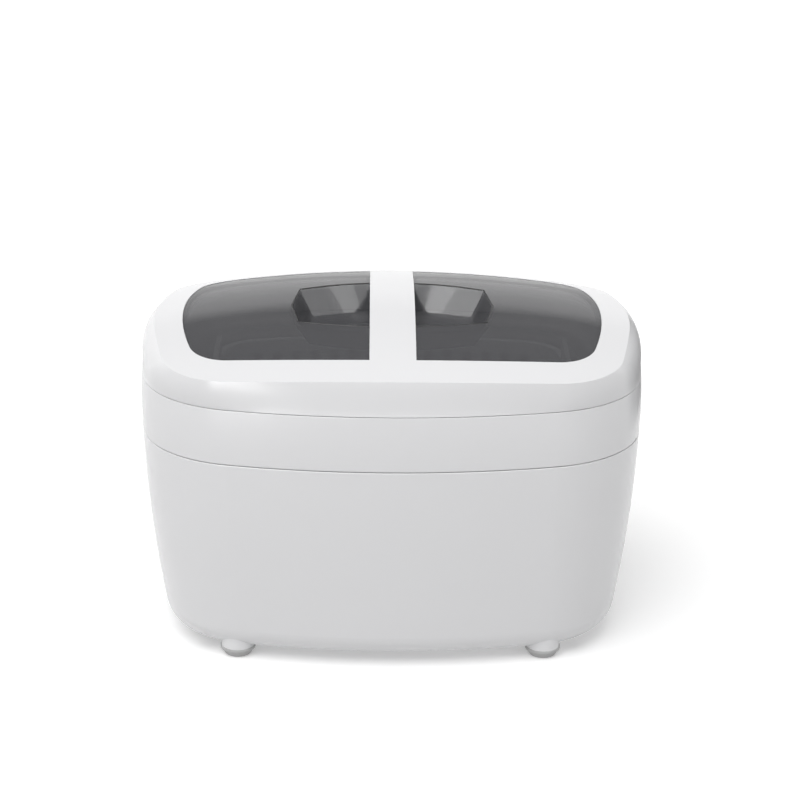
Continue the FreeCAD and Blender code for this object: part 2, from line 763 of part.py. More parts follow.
def lid_window():
    """The smoked window: one sheet under the frame, raised into both openings, with the finger pocket."""
    blank = prism("window_blank", (WINDOW.inset("-window_lap"),), "upper_seam", "crest + 5")
    sheet_layer = common("window_sheet", blank,
                         slab("sheet_layer", "wall + glue_gap", "wall + window_thickness"))
    raised = common("window_raised", window_openings("window_fill", "part_gap"),
                    slab("raised_layer", "window_set", "wall + window_thickness / 2"))
    hollow = common("window_hollow", window_openings("window_room", "part_gap + window_thickness"),
                    slab("hollow_layer", "window_set + window_thickness", "wall + window_thickness + 1"))
    panes = cut("window_panes", fuse("window_solid", [sheet_layer, raised]), hollow)
    bar_block = box("bar_room_block", ("-bar_half_width - part_gap", "bar_half_width + part_gap"),
                    ("-half_depth", "half_depth"), ("upper_seam", "crest + 8"))
    bar_room = common("bar_room", bar_block, slab("bar_layer", "-5", "wall"))
    tray = common("pocket_tray", pocket_solid("pocket_outside", "window_thickness",
                                              "pocket_floor - window_thickness"),
                  dome("tray_limit", "window_set + window_thickness / 2"))
    whole = cut("window_whole", fuse("window_joined", [panes, tray]), bar_room)
    return cut("lid_window", whole, pocket_solid("pocket_inside", "0", "pocket_floor"))


def lid_inner_ring():
    """The ring that holds the window up and locates the lid in the upper housing."""
    inset = "wall + ring_gap"
    outer = common("ring_outer", lid_side("ring_outer_side", inset, "upper_seam - ring_reach"),
                   dome("ring_outer_dome", "ring_drop"))
    room = common("ring_room",
                  lid_side("ring_room_side", f"{inset} + ring_wall", "upper_seam - ring_reach - 1"),
                  dome("ring_room_dome", "ring_drop + ring_wall"))
    opening = prism("ring_opening", (WINDOW,), "upper_seam - ring_reach - 2", "crest")
    shell = cut("ring_open", cut("ring_shell", outer, room), opening)
    rib = common("window_rib", prism("window_rib_wall", (WINDOW.inset("-window_lap + 1"),
                                                         WINDOW.inset("-window_lap + 3.5")),
                                     "upper_seam", "crest"),
                 slab("rib_layer", "wall + window_thickness + glue_gap", "ring_drop + ring_wall / 2"))
    pads = []
    holes = []
    for i, (x, y) in enumerate(lid_screw_places()):
        pads.append(rod(f"ring_pad_{i}", "lid_boss_radius", screw_seat(x, y),
                        dome_height(x, y, "ring_drop + 1.6"), x, y))
        holes.append(rod(f"ring_hole_{i}", "lid_screw_radius + 0.3", "upper_seam - ring_reach", "crest",
                         x, y))
    whole = fuse("ring_whole", [shell, rib] + pads)
    return cut("lid_inner_ring", whole, fuse("ring_holes", holes))


def screw_seat(x, y):
    """The level under a ring pad where a lid screw's head bears."""
    return dome_height(x, y, "ring_drop + ring_wall + 1.8")


def lid_screws():
    """The six screws that hold the ring and the window to the frame."""
    screws = []
    for i, (x, y) in enumerate(lid_screw_places()):
        head = rod(f"lid_screw_head_{i}", "2.7", f"{screw_seat(x, y)} - 1.7", screw_seat(x, y), x, y)
        shank = rod(f"lid_screw_shank_{i}", "lid_screw_radius", f"{screw_seat(x, y)} - 1",
                    f"{dome_height(x, y, 'wall + 1.5')} - 0.4", x, y)
        screws.append(fuse(f"lid_screw_{i}", [head, shank]))
    return group("lid_screws", screws)


# ---------------------------------------------------------------- basket

def basket():
    """The slotted basket on four short legs, with a handle at each end."""
    outline = TANK.inset("basket_gap")
    low = f"{TANK_FLOOR} + basket_lift"
    high = f"{TANK_RIM} - basket_drop"
    outer = prism("basket_outer", (outline,), low, high)
    round_level(outer, "basket_outer_round", low, "tank_round - 2")
    inner = prism("basket_inner", (outline.inset("basket_wall"),), f"{low} + basket_wall", f"{high} + 1")
    round_level(inner, "basket_inner_round", f"{low} + basket_wall", "tank_round - 2 - basket_wall")
    rim = prism("basket_rim", (outline.inset("-2.5"), outline.inset("basket_wall / 2")), f"{high} - 2", high)
    legs = four_corners("basket_leg", rod("basket_leg", "4", f"{TANK_FLOOR} + part_gap", f"{low} + 1",
                                          "transducer_x", "-sensor_y + 5"))
    end = "half_width - tank_margin - basket_gap"
    plate = box("handle_plate", (f"{end} - 4", f"{end} - 1"), ("-handle_half_width", "handle_half_width"),
                (f"{high} - 6", f"{high} + handle_height"))
    hole = box("handle_hole", (f"{end} - 5", end), ("-handle_half_width + 5", "handle_half_width - 5"),
               (f"{high} + 1", f"{high} + handle_height - 5"))
    handle = cut("basket_handle", plate, hole)
    slots = []
    wide = int(value(f"({end} - 22) / basket_pitch"))
    deep = int(value("(half_depth - tank_margin - basket_gap - 20) / basket_pitch"))
    for i in range(-wide, wide + 1):
        place_x = (f"basket_pitch * {i} - basket_slot / 2", f"basket_pitch * {i} + basket_slot / 2")
        slots.append(box(f"basket_wall_slot_{i + wide}", place_x, ("-half_depth", "half_depth"),
                         (f"{low} + tank_round + 2", f"{high} - 8")))
        for j in range(-deep, deep + 1):
            slots.append(rod(f"basket_floor_hole_{i + wide}_{j + deep}", "basket_slot / 2 + 1", f"{low} - 1",
                             f"{low} + basket_wall + 1", f"basket_pitch * {i}", f"basket_pitch * {j}"))
    for j in range(-deep, deep + 1):
        place_y = (f"basket_pitch * {j} - basket_slot / 2", f"basket_pitch * {j} + basket_slot / 2")
        slots.append(box(f"basket_end_slot_{j + deep}", ("-half_width", "half_width"), place_y,
                         (f"{low} + tank_round + 2", f"{high} - 8")))
    shell = cut("basket_shell", fuse("basket_whole", [cut("basket_cup", outer, inner), rim]),
                group("basket_slots", slots))
    return fuse("basket", [shell] + legs + left_and_right("basket_handle", handle))


# ---------------------------------------------------------------- feet and housing screws

def foot(name, x_sign, y_sign):
    """A rubber foot with a stem that presses into the housing."""
    body = new_body(name)
    sketch = sketch_on(body, f"{name}_profile", "XZ_Plane")
    radius, stem, base, top = (value(text) for text in
                               ("foot_radius", "foot_stem_radius", "floor_gap", "floor_gap + foot_stem"))
    points = [Vector(0, 0, 0), Vector(radius * 0.6, 0, 0), Vector(radius, base * 0.7, 0),
              Vector(radius, base, 0), Vector(stem, base, 0), Vector(stem, top, 0), Vector(0, top, 0)]
    for i, start in enumerate(points):
        sketch.addGeometry(Part.LineSegment(start, points[(i + 1) % len(points)]))
    for i in range(len(points)):
        sketch.addConstraint(Sketcher.Constraint("Coincident", i, 2, (i + 1) % len(points), 1))
    sketch.addConstraint(Sketcher.Constraint("Coincident", 0, 1, -1, 1))
    for i, x, y in ((1, "foot_radius * 0.6", None), (2, "foot_radius", "floor_gap * 0.7"),
                    (3, "foot_radius", "floor_gap"), (4, "foot_stem_radius", "floor_gap"),
                    (5, "foot_stem_radius", "floor_gap + foot_stem"), (6, None, "floor_gap + foot_stem")):
        if x:
            named_constraint(sketch, x, "DistanceX", -1, 1, i, 1)
        if y:
            named_constraint(sketch, y, "DistanceY", -1, 1, i, 1)
    sketch.addConstraint(Sketcher.Constraint("Horizontal", 0))
    sketch.addConstraint(Sketcher.Constraint("Vertical", 6))
    turned = body.newObject("PartDesign::Revolution", f"{name}_turned")
    turned.Profile = sketch
    turned.ReferenceAxis = (sketch, ["V_Axis"])
    turned.Angle = 360
    place(body, f"{x_sign} * foot_x", f"{y_sign} * foot_y")
    return body


def housing_screws():
    """The four long-well screws that hold the lower housing to the upper one."""
    seat = "screw_boss_top - screw_well"
    head = rod("housing_screw_head", "screw_head_radius", f"{seat} - screw_head_height", seat,
               "screw_x", "-screw_y")
    shank = rod("housing_screw_shank", "screw_radius", f"{seat} - 1", f"{seat} + screw_length",
                "screw_x", "-screw_y")
    screw = fuse("housing_screw", [head, shank])
    return group("housing_screws", four_corners("housing_screw", screw))


# ---------------------------------------------------------------- transducers, heaters and sensors

def transducer(side, x):
    """A bolted stack: front mass on the tank, two piezo rings between electrodes, back mass and bolt."""
    front_low = f"{TANK_BASE} - front_mass_height"
    stack = [front_low]
    for step in ("electrode_height", "piezo_height", "electrode_height", "piezo_height", "electrode_height",
                 "back_mass_height"):
        stack.append(f"{stack[-1]} - {step}")
    mass = rod(f"{side}_mass", "stack_radius", front_low, TANK_BASE, x, top_radius="front_mass_radius")
    thread = rod(f"{side}_thread", "bolt_radius + 0.05", f"{front_low} - 1", f"{front_low} + 12", x)
    nodes = [cut(f"transducer_{side}_front_mass", mass, thread)]
    plates = []
    rings = []
    for i in range(5):
        high, low = stack[i], stack[i + 1]
        hole = rod(f"{side}_bore_{i}", "stack_radius * 0.4", f"{low} - 1", f"{high} + 1", x)
        disc = rod(f"{side}_disc_{i}", "stack_radius", low, high, x)
        if i % 2:
            rings.append(cut(f"{side}_ring_{i}", disc, hole))
            continue
        tab = box(f"{side}_tab_{i}", (f"({x}) - 2", f"({x}) + 2"), ("stack_radius - 1", "stack_radius + 8"),
                  (low, high))
        plates.append(cut(f"{side}_plate_{i}", fuse(f"{side}_plate_whole_{i}", [disc, tab]), hole))
    nodes.append(group(f"transducer_{side}_piezo_rings", rings))
    nodes.append(group(f"transducer_{side}_electrodes", plates))
    back = rod(f"{side}_back", "stack_radius", stack[6], stack[5], x)
    bore = rod(f"{side}_back_bore", "bolt_radius + 0.3", f"{stack[6]} - 1", f"{stack[5]} + 1", x)
    nodes.append(cut(f"transducer_{side}_back_mass", back, bore))
    hexagon = doc.addObject("Part::Prism", f"{side}_bolt_head")
    hexagon.Polygon = 6
    bind(hexagon, "Circumradius", "bolt_radius * 1.8")
    bind(hexagon, "Height", "bolt_radius * 1.5")
    place(hexagon, x, "0", f"{stack[6]} - bolt_radius * 1.5")
    shank = rod(f"{side}_bolt_shank", "bolt_radius", f"{stack[6]} - 1", f"{front_low} + 11", x)
    nodes.append(fuse(f"transducer_{side}_bolt", [hexagon, shank]))
    return nodes


def heater(name, side):
    """A heating pad that follows one long wall of the tank."""
    faces = (TANK.inset("-tank_steel - heater_thickness"), TANK.inset("-tank_steel - glue_gap"))
    band = prism(f"{name}_band", faces, "heater_low", "heater_high")
    span = ("-half_depth", "0") if side < 0 else ("0", "half_depth")
    return common(name, band, box(f"{name}_span", ("-heater_half_width", "heater_half_width"), span,
                                  ("heater_low - 1", "heater_high + 1")))


def sensors():
    """The thermal cutout and the temperature sensor, both under the tank's floor."""
    disc = rod("cutout_disc", "8", f"{TANK_BASE} - 5", TANK_BASE, y="sensor_y")
    tabs = [box(f"cutout_tab_{i}", (f"{x} - 1.5", f"{x} + 1.5"), ("sensor_y - 0.4", "sensor_y + 0.4"),
                (f"{TANK_BASE} - 12", f"{TANK_BASE} - 4.5")) for i, x in enumerate((-4, 4))]
    cutout = fuse("thermal_cutout", [disc] + tabs)
    bead = rod("sensor_bead", "3.5", f"{TANK_BASE} - 6", TANK_BASE, y="-sensor_y")
    lug = box("sensor_lug", ("-12", "2"), ("-sensor_y - 3", "-sensor_y + 3"),
              (f"{TANK_BASE} - 1.2", TANK_BASE))
    return [cutout, fuse("temperature_sensor", [bead, lug])]


# ---------------------------------------------------------------- main board

def on_board(name, x, y, z):
    """A block whose X counts from the board's inner edge and whose Z counts from the board's top."""
    return box(name, (f"board_x + {x[0]}", f"board_x + {x[1]}"), (str(y[0]), str(y[1])),
               (f"{BOARD_TOP} + {z[0]}", f"{BOARD_TOP} + {z[1]}"))


def main_board():
    """The power board and what stands on it, each kind as its own node."""
    plate = box("main_board_plate", ("board_x", "board_x + board_width"),
                ("-board_half_length", "board_half_length"), ("board_height", BOARD_TOP))
    holes = [rod(f"board_hole_{i}", "board_hole_radius", "board_height - 1", f"{BOARD_TOP} + 1", x, y)
             for i, (x, y) in enumerate(board_corners())]
    screws = []
    for i, (x, y) in enumerate(board_corners()):
        head = rod(f"board_screw_head_{i}", "small_head_radius", BOARD_TOP,
                   f"{BOARD_TOP} + small_head_height", x, y)
        shank = rod(f"board_screw_shank_{i}", "small_screw_radius", "board_height - 4", f"{BOARD_TOP} + 1",
                    x, y)
        screws.append(fuse(f"board_screw_{i}", [head, shank]))
    return [cut("main_board", plate, group("board_holes", holes)), group("board_screws", screws)]


def transformer():
    """The output transformer: a core with two windows, and its winding."""
    core = on_board("core_block", (3, 31), (-10, 2), (0, "core_height"))
    windows = [on_board(f"core_window_{i}", x, (-11, 3), ("core_bar", "core_height - core_bar"))
               for i, x in enumerate(((7, 13), (21, 27)))]
    coil = on_board("winding_block", (7.3, 26.7), (-16, 8),
                    ("core_bar + part_gap", "core_height - core_bar - part_gap"))
    leg = on_board("winding_room", (12.7, 21.3), (-10.3, 2.3), ("core_bar", "core_height - core_bar"))
    return [cut("transformer_core", core, group("core_windows", windows)),
            cut("transformer_winding", coil, leg)]


def board_parts():
    """The capacitor, the output coil, the relay, the heatsink and the transistors clamped to it."""
    capacitor = rod("mains_capacitor", "capacitor_radius", BOARD_TOP, f"{BOARD_TOP} + capacitor_height",
                    "board_x + capacitor_x", "board_half_length - 20")
    coil = doc.addObject("Part::Torus", "output_coil")
    bind(coil, "Radius1", "coil_radius")
    bind(coil, "Radius2", "coil_wire_radius")
    coil.Placement = Placement(Vector(), Rotation(Vector(0, 1, 0), 90))
    place(coil, "board_x + 13", "-board_half_length + 16", f"{BOARD_TOP} + coil_radius + coil_wire_radius")
    relay = on_board("relay", (19, 34), (-44, -25), (0, "relay_height"))
    plate = on_board("heatsink_plate", (33.5, 36.5), (6, 38), (0, "heatsink_height"))
    fins = [plate]
    for i in range(6):
        low = f"6 + fin_pitch * {i}"
        fins.append(on_board(f"heatsink_fin_{i}", (36, 41.5), (low, f"{low} + fin_thickness"),
                             (0, "heatsink_height")))
    transistors = [on_board(f"transistor_{i}", (29, 33.5), (y, y + 10), (2, 18))
                   for i, y in enumerate((9, 25))]
    return [capacitor, coil, relay, fuse("heatsink", fins), group("power_transistors", transistors)]


def board_fuse():
    """The fuse in its two clips, and the connectors along the board's inner edge."""
    axis = ("board_x + fuse_x", f"{BOARD_TOP} + fuse_axis")
    glass = rod("fuse_glass", "fuse_radius", "6", "26", *axis, axis="y")
    clips = []
    for i, y in enumerate((6.5, 21.5)):
        block = on_board(f"clip_block_{i}", ("fuse_x - 3.2", "fuse_x + 3.2"), (y, f"{y} + clip_width"),
                         (0, 6))
        bore = rod(f"clip_bore_{i}", "fuse_radius + glue_gap", "5", "27", *axis, axis="y")
        clips.append(cut(f"fuse_clip_{i}", block, bore))
    connectors = [on_board(f"connector_{i}", (0.8, 7), (y, f"{y} + connector_length"),
                           (0, "connector_height")) for i, y in enumerate((-40, -27, 31))]
    return [glass, group("fuse_clips", clips), group("board_connectors", connectors)]


# ---------------------------------------------------------------- fan

def fan():
    """The fan in the base: its frame with a bearing tube, its rotor and its screws."""
    low = f"{BASE_TOP} + fan_post"
    high = f"{low} + fan_thickness"
    half = ("-fan_half_size", "fan_half_size")
    bore = rod("fan_bore", "fan_bore_radius", f"{low} - 1", f"{high} + 1")
    holes = four_corners("fan_hole", rod("fan_hole", "2.1", f"{low} - 1", f"{high} + 1",
                                         "fan_hole_spacing", "-fan_hole_spacing"))
    rim = cut("fan_rim", box("fan_block", half, half, (low, high)), group("fan_openings", [bore] + holes))
    spoke = ("-spoke_half_width", "spoke_half_width")
    spoke_top = f"{low} + spoke_thickness"
    spokes = [box("fan_spoke_x", half, spoke, (low, spoke_top)),
              box("fan_spoke_y", spoke, half, (low, spoke_top))]
    cup = rod("fan_cup", "blade_radius * hub_share", low, spoke_top)
    tube = rod("fan_tube", "shaft_radius * 2", low, f"{low} + 10")
    frame = cut("fan_frame", fuse("fan_frame_whole", [rim, cup, tube] + spokes),
                rod("bearing_bore", "shaft_radius + 0.05", f"{low} + 1.5", f"{high}"))

    hub = cut("hub_cup", rod("hub", "blade_radius * hub_share", f"{low} + 3", f"{high} - blade_end_gap"),
              rod("hub_room", "blade_radius * 0.4", f"{low} + 2", f"{high} - 2.2"))
    shaft = rod("fan_shaft", "shaft_radius", f"{low} + 2", f"{high} - 1")
    blades = []
    for i in range(7):
        blade = doc.addObject("Part::Box", f"blade_{i}")
        bind(blade, "Length", "blade_radius * 0.6")
        bind(blade, "Width", "blade_thickness")
        bind(blade, "Height", "fan_thickness - 3.4")
        turn = Rotation(Vector(0, 0, 1), 360 * i / 7)
        tilt = Rotation(Vector(1, 0, 0), 38)
        root = Vector(value("blade_radius * 0.44"), value("fan_thickness * 0.27"), value(low) + 3.4)
        start = turn.multVec(root)
        blade.Placement = Placement(start, turn * tilt)
        blades.append(blade)
    sweep = rod("blade_sweep", "blade_radius", f"{low} + 3", f"{high} - blade_end_gap")
    core = rod("blade_core", "blade_radius * 0.43", f"{low} + 2", high)
    swept = common("blades", fuse("blade_ring", blades), cut("blade_band", sweep, core))
    rotor = fuse("fan_rotor", [hub, shaft, swept])

    head = rod("fan_screw_head", "3.2", high, f"{high} + 2", "fan_hole_spacing", "-fan_hole_spacing")
    shank = rod("fan_screw_shank", "1.45", "floor_gap + 1.6", f"{high} + 1",
                "fan_hole_spacing", "-fan_hole_spacing")
    screws = group("fan_screws", four_corners("fan_screw", fuse("fan_screw", [head, shank])))
    return [frame, rotor, screws]


# ---------------------------------------------------------------- mains inlet

def around_inlet(name, depth, margin):
    """A block centred on the inlet, between two depths from its seat, with a margin around the opening."""
    return box(name, (f"inlet_seat - ({depth[0]})", f"inlet_seat + {depth[1]}"),
               (f"inlet_y - inlet_half_width - ({margin})", f"inlet_y + inlet_half_width + ({margin})"),
               (f"inlet_z - inlet_half_height - ({margin})", f"inlet_z + inlet_half_height + ({margin})"))


def inlet_blade(name, y, z, clearance):
    """One flat pin, or with a clearance the slot that it sits in."""
    half_y = f"pin_half_width + {clearance}"
    half_z = f"pin_half_height + {clearance}"
    return box(name, (f"inlet_seat - pin_length - {clearance}", "inlet_seat"),
               (f"inlet_y + {y} - ({half_y})", f"inlet_y + {y} + {half_y}"),
               (f"inlet_z + {z} - ({half_z})", f"inlet_z + {z} + {half_z}"))


def mains_inlet():
    """The appliance inlet in its recess, and its three pins."""
    flange = around_inlet("inlet_flange", ("0", "inlet_flange"), "inlet_flange")
    shell = around_inlet("inlet_shell", ("inlet_depth", "1"), "0")
    socket = around_inlet("inlet_socket", ("15", "3"), "-1.65")
    places = ((-7, -2), (0, 3), (7, -2))
    pins = [inlet_blade(f"inlet_pin_{i}", y, z, "0") for i, (y, z) in enumerate(places)]
    slots = [inlet_blade(f"inlet_slot_{i}", y, z, "pin_clearance") for i, (y, z) in enumerate(places)]
    moulding = fuse("inlet_moulding", [flange, shell])
    return [cut("mains_inlet", moulding, fuse("inlet_hollow", [socket] + slots)), group("inlet_pins", pins)]


# ---------------------------------------------------------------- controls

def panel_skin(name, x, z, clearance):
    """A plate whose outer face is the case's own surface."""
    block = box(f"{name}_block", (f"-{x} + {clearance}", f"{x} - {clearance}"),
                ("panel_seat", "half_depth + 1"), (f"{z[0]} + {clearance}", f"{z[1]} - {clearance}"))
    return common(f"{name}_skin", lower_shape(f"{name}_case", "0", "floor_gap", CASE_TOP, ()), block)


def controls():
    """The control panel, its display and lens, its three buttons and the board behind them."""
    window = box("panel_window", ("-lens_half_width", "lens_half_width"),
                 ("panel_seat - 1", "half_depth + 1"), ("lens_low", "lens_high"))
    bores = [rod(f"panel_bore_{i + 1}", "button_radius + part_gap", "panel_seat - 1", "half_depth + 1",
                 f"button_spacing * {i}", "button_z", axis="y") for i in (-1, 0, 1)]
    skin = panel_skin("control_panel", "panel_half_width", ("panel_low", "panel_high"), "part_gap")
    nodes = [cut("control_panel", skin, group("panel_openings", [window] + bores))]
    lens = panel_skin("lens", "lens_half_width", ("lens_low", "lens_high"), "0.15")
    lens.Label = "display_lens"
    nodes.append(lens)

    board_front = "control_board_back + board_thickness"
    nodes.append(box("display_module", ("-lens_half_width + 1", "lens_half_width - 1"),
                     (board_front, "panel_seat - 0.5"), ("lens_low + 1", "lens_high - 1")))
    plate = box("control_board_plate", ("-panel_half_width", "panel_half_width"),
                ("control_board_back", board_front), ("panel_low + 0.5", "panel_high - 0.5"))
    holes = [rod(f"control_hole_{i}", "board_hole_radius", "control_board_back - 1", f"{board_front} + 1",
                 x, z, axis="y") for i, (x, z) in enumerate(control_board_holes())]
    nodes.append(cut("control_board", plate, group("control_holes", holes)))

    screws = []
    for i, (x, z) in enumerate(control_board_holes()):
        head = rod(f"control_screw_head_{i}", "small_head_radius", "control_board_back - small_head_height",
                   "control_board_back", x, z, axis="y")
        shank = rod(f"control_screw_shank_{i}", "small_screw_radius", "control_board_back - 1",
                    f"{board_front} + 5", x, z, axis="y")
        screws.append(fuse(f"control_screw_{i}", [head, shank]))
    nodes.append(group("control_screws", screws))

    switches = []
    flange_back = "panel_seat - wall - part_gap - 1.5"
    for i, name in ((-1, "timer_button"), (0, "power_button"), (1, "heater_button")):
        x = f"button_spacing * {i}"
        cap = rod(f"{name}_cap", "button_radius", flange_back, "button_front", x, "button_z", axis="y")
        lip = rod(f"{name}_lip", "button_radius + 1.5", flange_back, "panel_seat - wall - part_gap", x,
                  "button_z", axis="y")
        nodes.append(fuse(name, [cap, lip]))
        case = box(f"{name}_switch_case", (f"{x} - 3", f"{x} + 3"), (board_front, f"{board_front} + 3.4"),
                   ("button_z - 3", "button_z + 3"))
        plunger = rod(f"{name}_plunger", "1.7", board_front, f"{flange_back} - 1.1", x, "button_z", axis="y")
        switches.append(fuse(f"{name}_switch", [case, plunger]))
    nodes.append(group("button_switches", switches))
    return nodes


# ---------------------------------------------------------------- assembly

def build():
    """Make every sub-part and give each its own label."""
    nodes = [lower_housing(), upper_housing(), tank(), tank_gasket(), lid_frame(), lid_window(),
             lid_inner_ring(), lid_screws(), basket()]
    for end, x_sign in (("left", -1), ("right", 1)):
        for face, y_sign in (("front", -1), ("back", 1)):
            nodes.append(foot(f"foot_{face}_{end}", x_sign, y_sign))
    nodes.append(housing_screws())
    nodes += transducer("left", "-transducer_x")
    nodes += transducer("right", "transducer_x")
    nodes += [heater("heater_front", -1), heater("heater_back", 1)]
    nodes += sensors() + main_board() + transformer() + board_parts() + board_fuse()
    nodes += fan() + mains_inlet() + controls()
    return nodes


def check(nodes):
    """Stop if any object failed to compute or any sub-part's shape is not sound."""
    for item in doc.Objects:
        if {"Invalid", "Error"} & set(item.State):
            raise RuntimeError(f"{item.Name} failed: {item.State}")
    for node in nodes:
        if node.Shape.isNull() or not node.Shape.isValid() or not node.Shape.Solids:
            raise RuntimeError(f"{node.Label} has no sound shape")


def export(nodes):
    """Write each sub-part to a STEP file named after it."""
    os.makedirs("parts", exist_ok=True)
    for node in nodes:
        node.Shape.exportStep(f"parts/{node.Label}.step")
        print(f"{node.Label}: {len(node.Shape.Solids)} solid(s), {node.Shape.Volume / 1000:.2f} cm3")


assembly = build()
doc.recompute()
check(assembly)
export(assembly)
print(f"{len(assembly)} nodes")
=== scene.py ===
"""Ultrasonic cleaner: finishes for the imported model, the pieces made around it, and the studio."""

import json
import logging
import math
from collections.abc import Callable
from dataclasses import dataclass, field
from enum import Enum

import bmesh
import bpy
from mathutils import Matrix, Vector
from mathutils.bvhtree import BVHTree

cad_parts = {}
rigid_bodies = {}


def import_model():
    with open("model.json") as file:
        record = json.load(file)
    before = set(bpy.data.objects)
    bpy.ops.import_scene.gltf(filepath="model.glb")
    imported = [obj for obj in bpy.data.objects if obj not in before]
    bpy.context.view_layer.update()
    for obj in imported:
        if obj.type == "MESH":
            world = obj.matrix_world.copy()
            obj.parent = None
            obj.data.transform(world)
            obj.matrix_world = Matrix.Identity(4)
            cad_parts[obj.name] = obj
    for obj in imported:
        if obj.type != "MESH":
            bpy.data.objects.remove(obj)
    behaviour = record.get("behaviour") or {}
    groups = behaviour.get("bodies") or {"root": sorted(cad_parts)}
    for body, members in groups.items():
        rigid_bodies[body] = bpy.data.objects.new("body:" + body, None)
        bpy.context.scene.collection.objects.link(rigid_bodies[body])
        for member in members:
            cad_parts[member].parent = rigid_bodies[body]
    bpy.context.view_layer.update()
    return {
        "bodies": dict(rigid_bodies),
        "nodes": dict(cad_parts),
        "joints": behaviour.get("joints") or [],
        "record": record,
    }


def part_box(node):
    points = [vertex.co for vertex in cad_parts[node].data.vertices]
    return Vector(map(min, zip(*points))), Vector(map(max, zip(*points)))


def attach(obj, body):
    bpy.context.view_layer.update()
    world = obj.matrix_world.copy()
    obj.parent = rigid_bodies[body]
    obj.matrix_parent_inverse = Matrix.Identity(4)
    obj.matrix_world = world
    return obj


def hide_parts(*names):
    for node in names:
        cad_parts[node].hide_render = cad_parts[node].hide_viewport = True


LOG = logging.getLogger("ultrasonic_cleaner")
Colour = tuple[float, float, float]
Point = tuple[float, float, float]
Socket = bpy.types.NodeSocket
MM = 0.001
DUST: Colour = (0.62, 0.60, 0.57)
BLOOM: Colour = (0.6, 0.58, 0.55)


class Axis(Enum):
    """The direction that a turned piece stands along."""

    UP = "up"
    BACK = "back"


class Grain(Enum):
    """The micro texture of a moulded surface: its noise scale per metre and its height in metres."""

    POLISHED = (900.0, 0.000001)
    SATIN = (2200.0, 0.00002)
    SPARK = (1500.0, 0.00005)


# ---------------------------------------------------------------- shader groups

def add_node(tree: bpy.types.NodeTree, kind: str, **inputs: float | tuple) -> bpy.types.Node:
    """Add a shader node to a tree.

    Args:
        tree: The tree.
        kind: The node's type, without its ShaderNode prefix.
        **inputs: Values for its inputs, named with underscores for spaces.

    Returns:
        The new node.
    """
    node = tree.nodes.new(f"ShaderNode{kind}")
    for key, given in inputs.items():
        node.inputs[key.replace("_", " ")].default_value = given
    return node


def join(tree: bpy.types.NodeTree, *pairs: tuple[Socket, Socket]) -> None:
    """Link each pair's output to its input."""
    for source, target in pairs:
        tree.links.new(source, target)


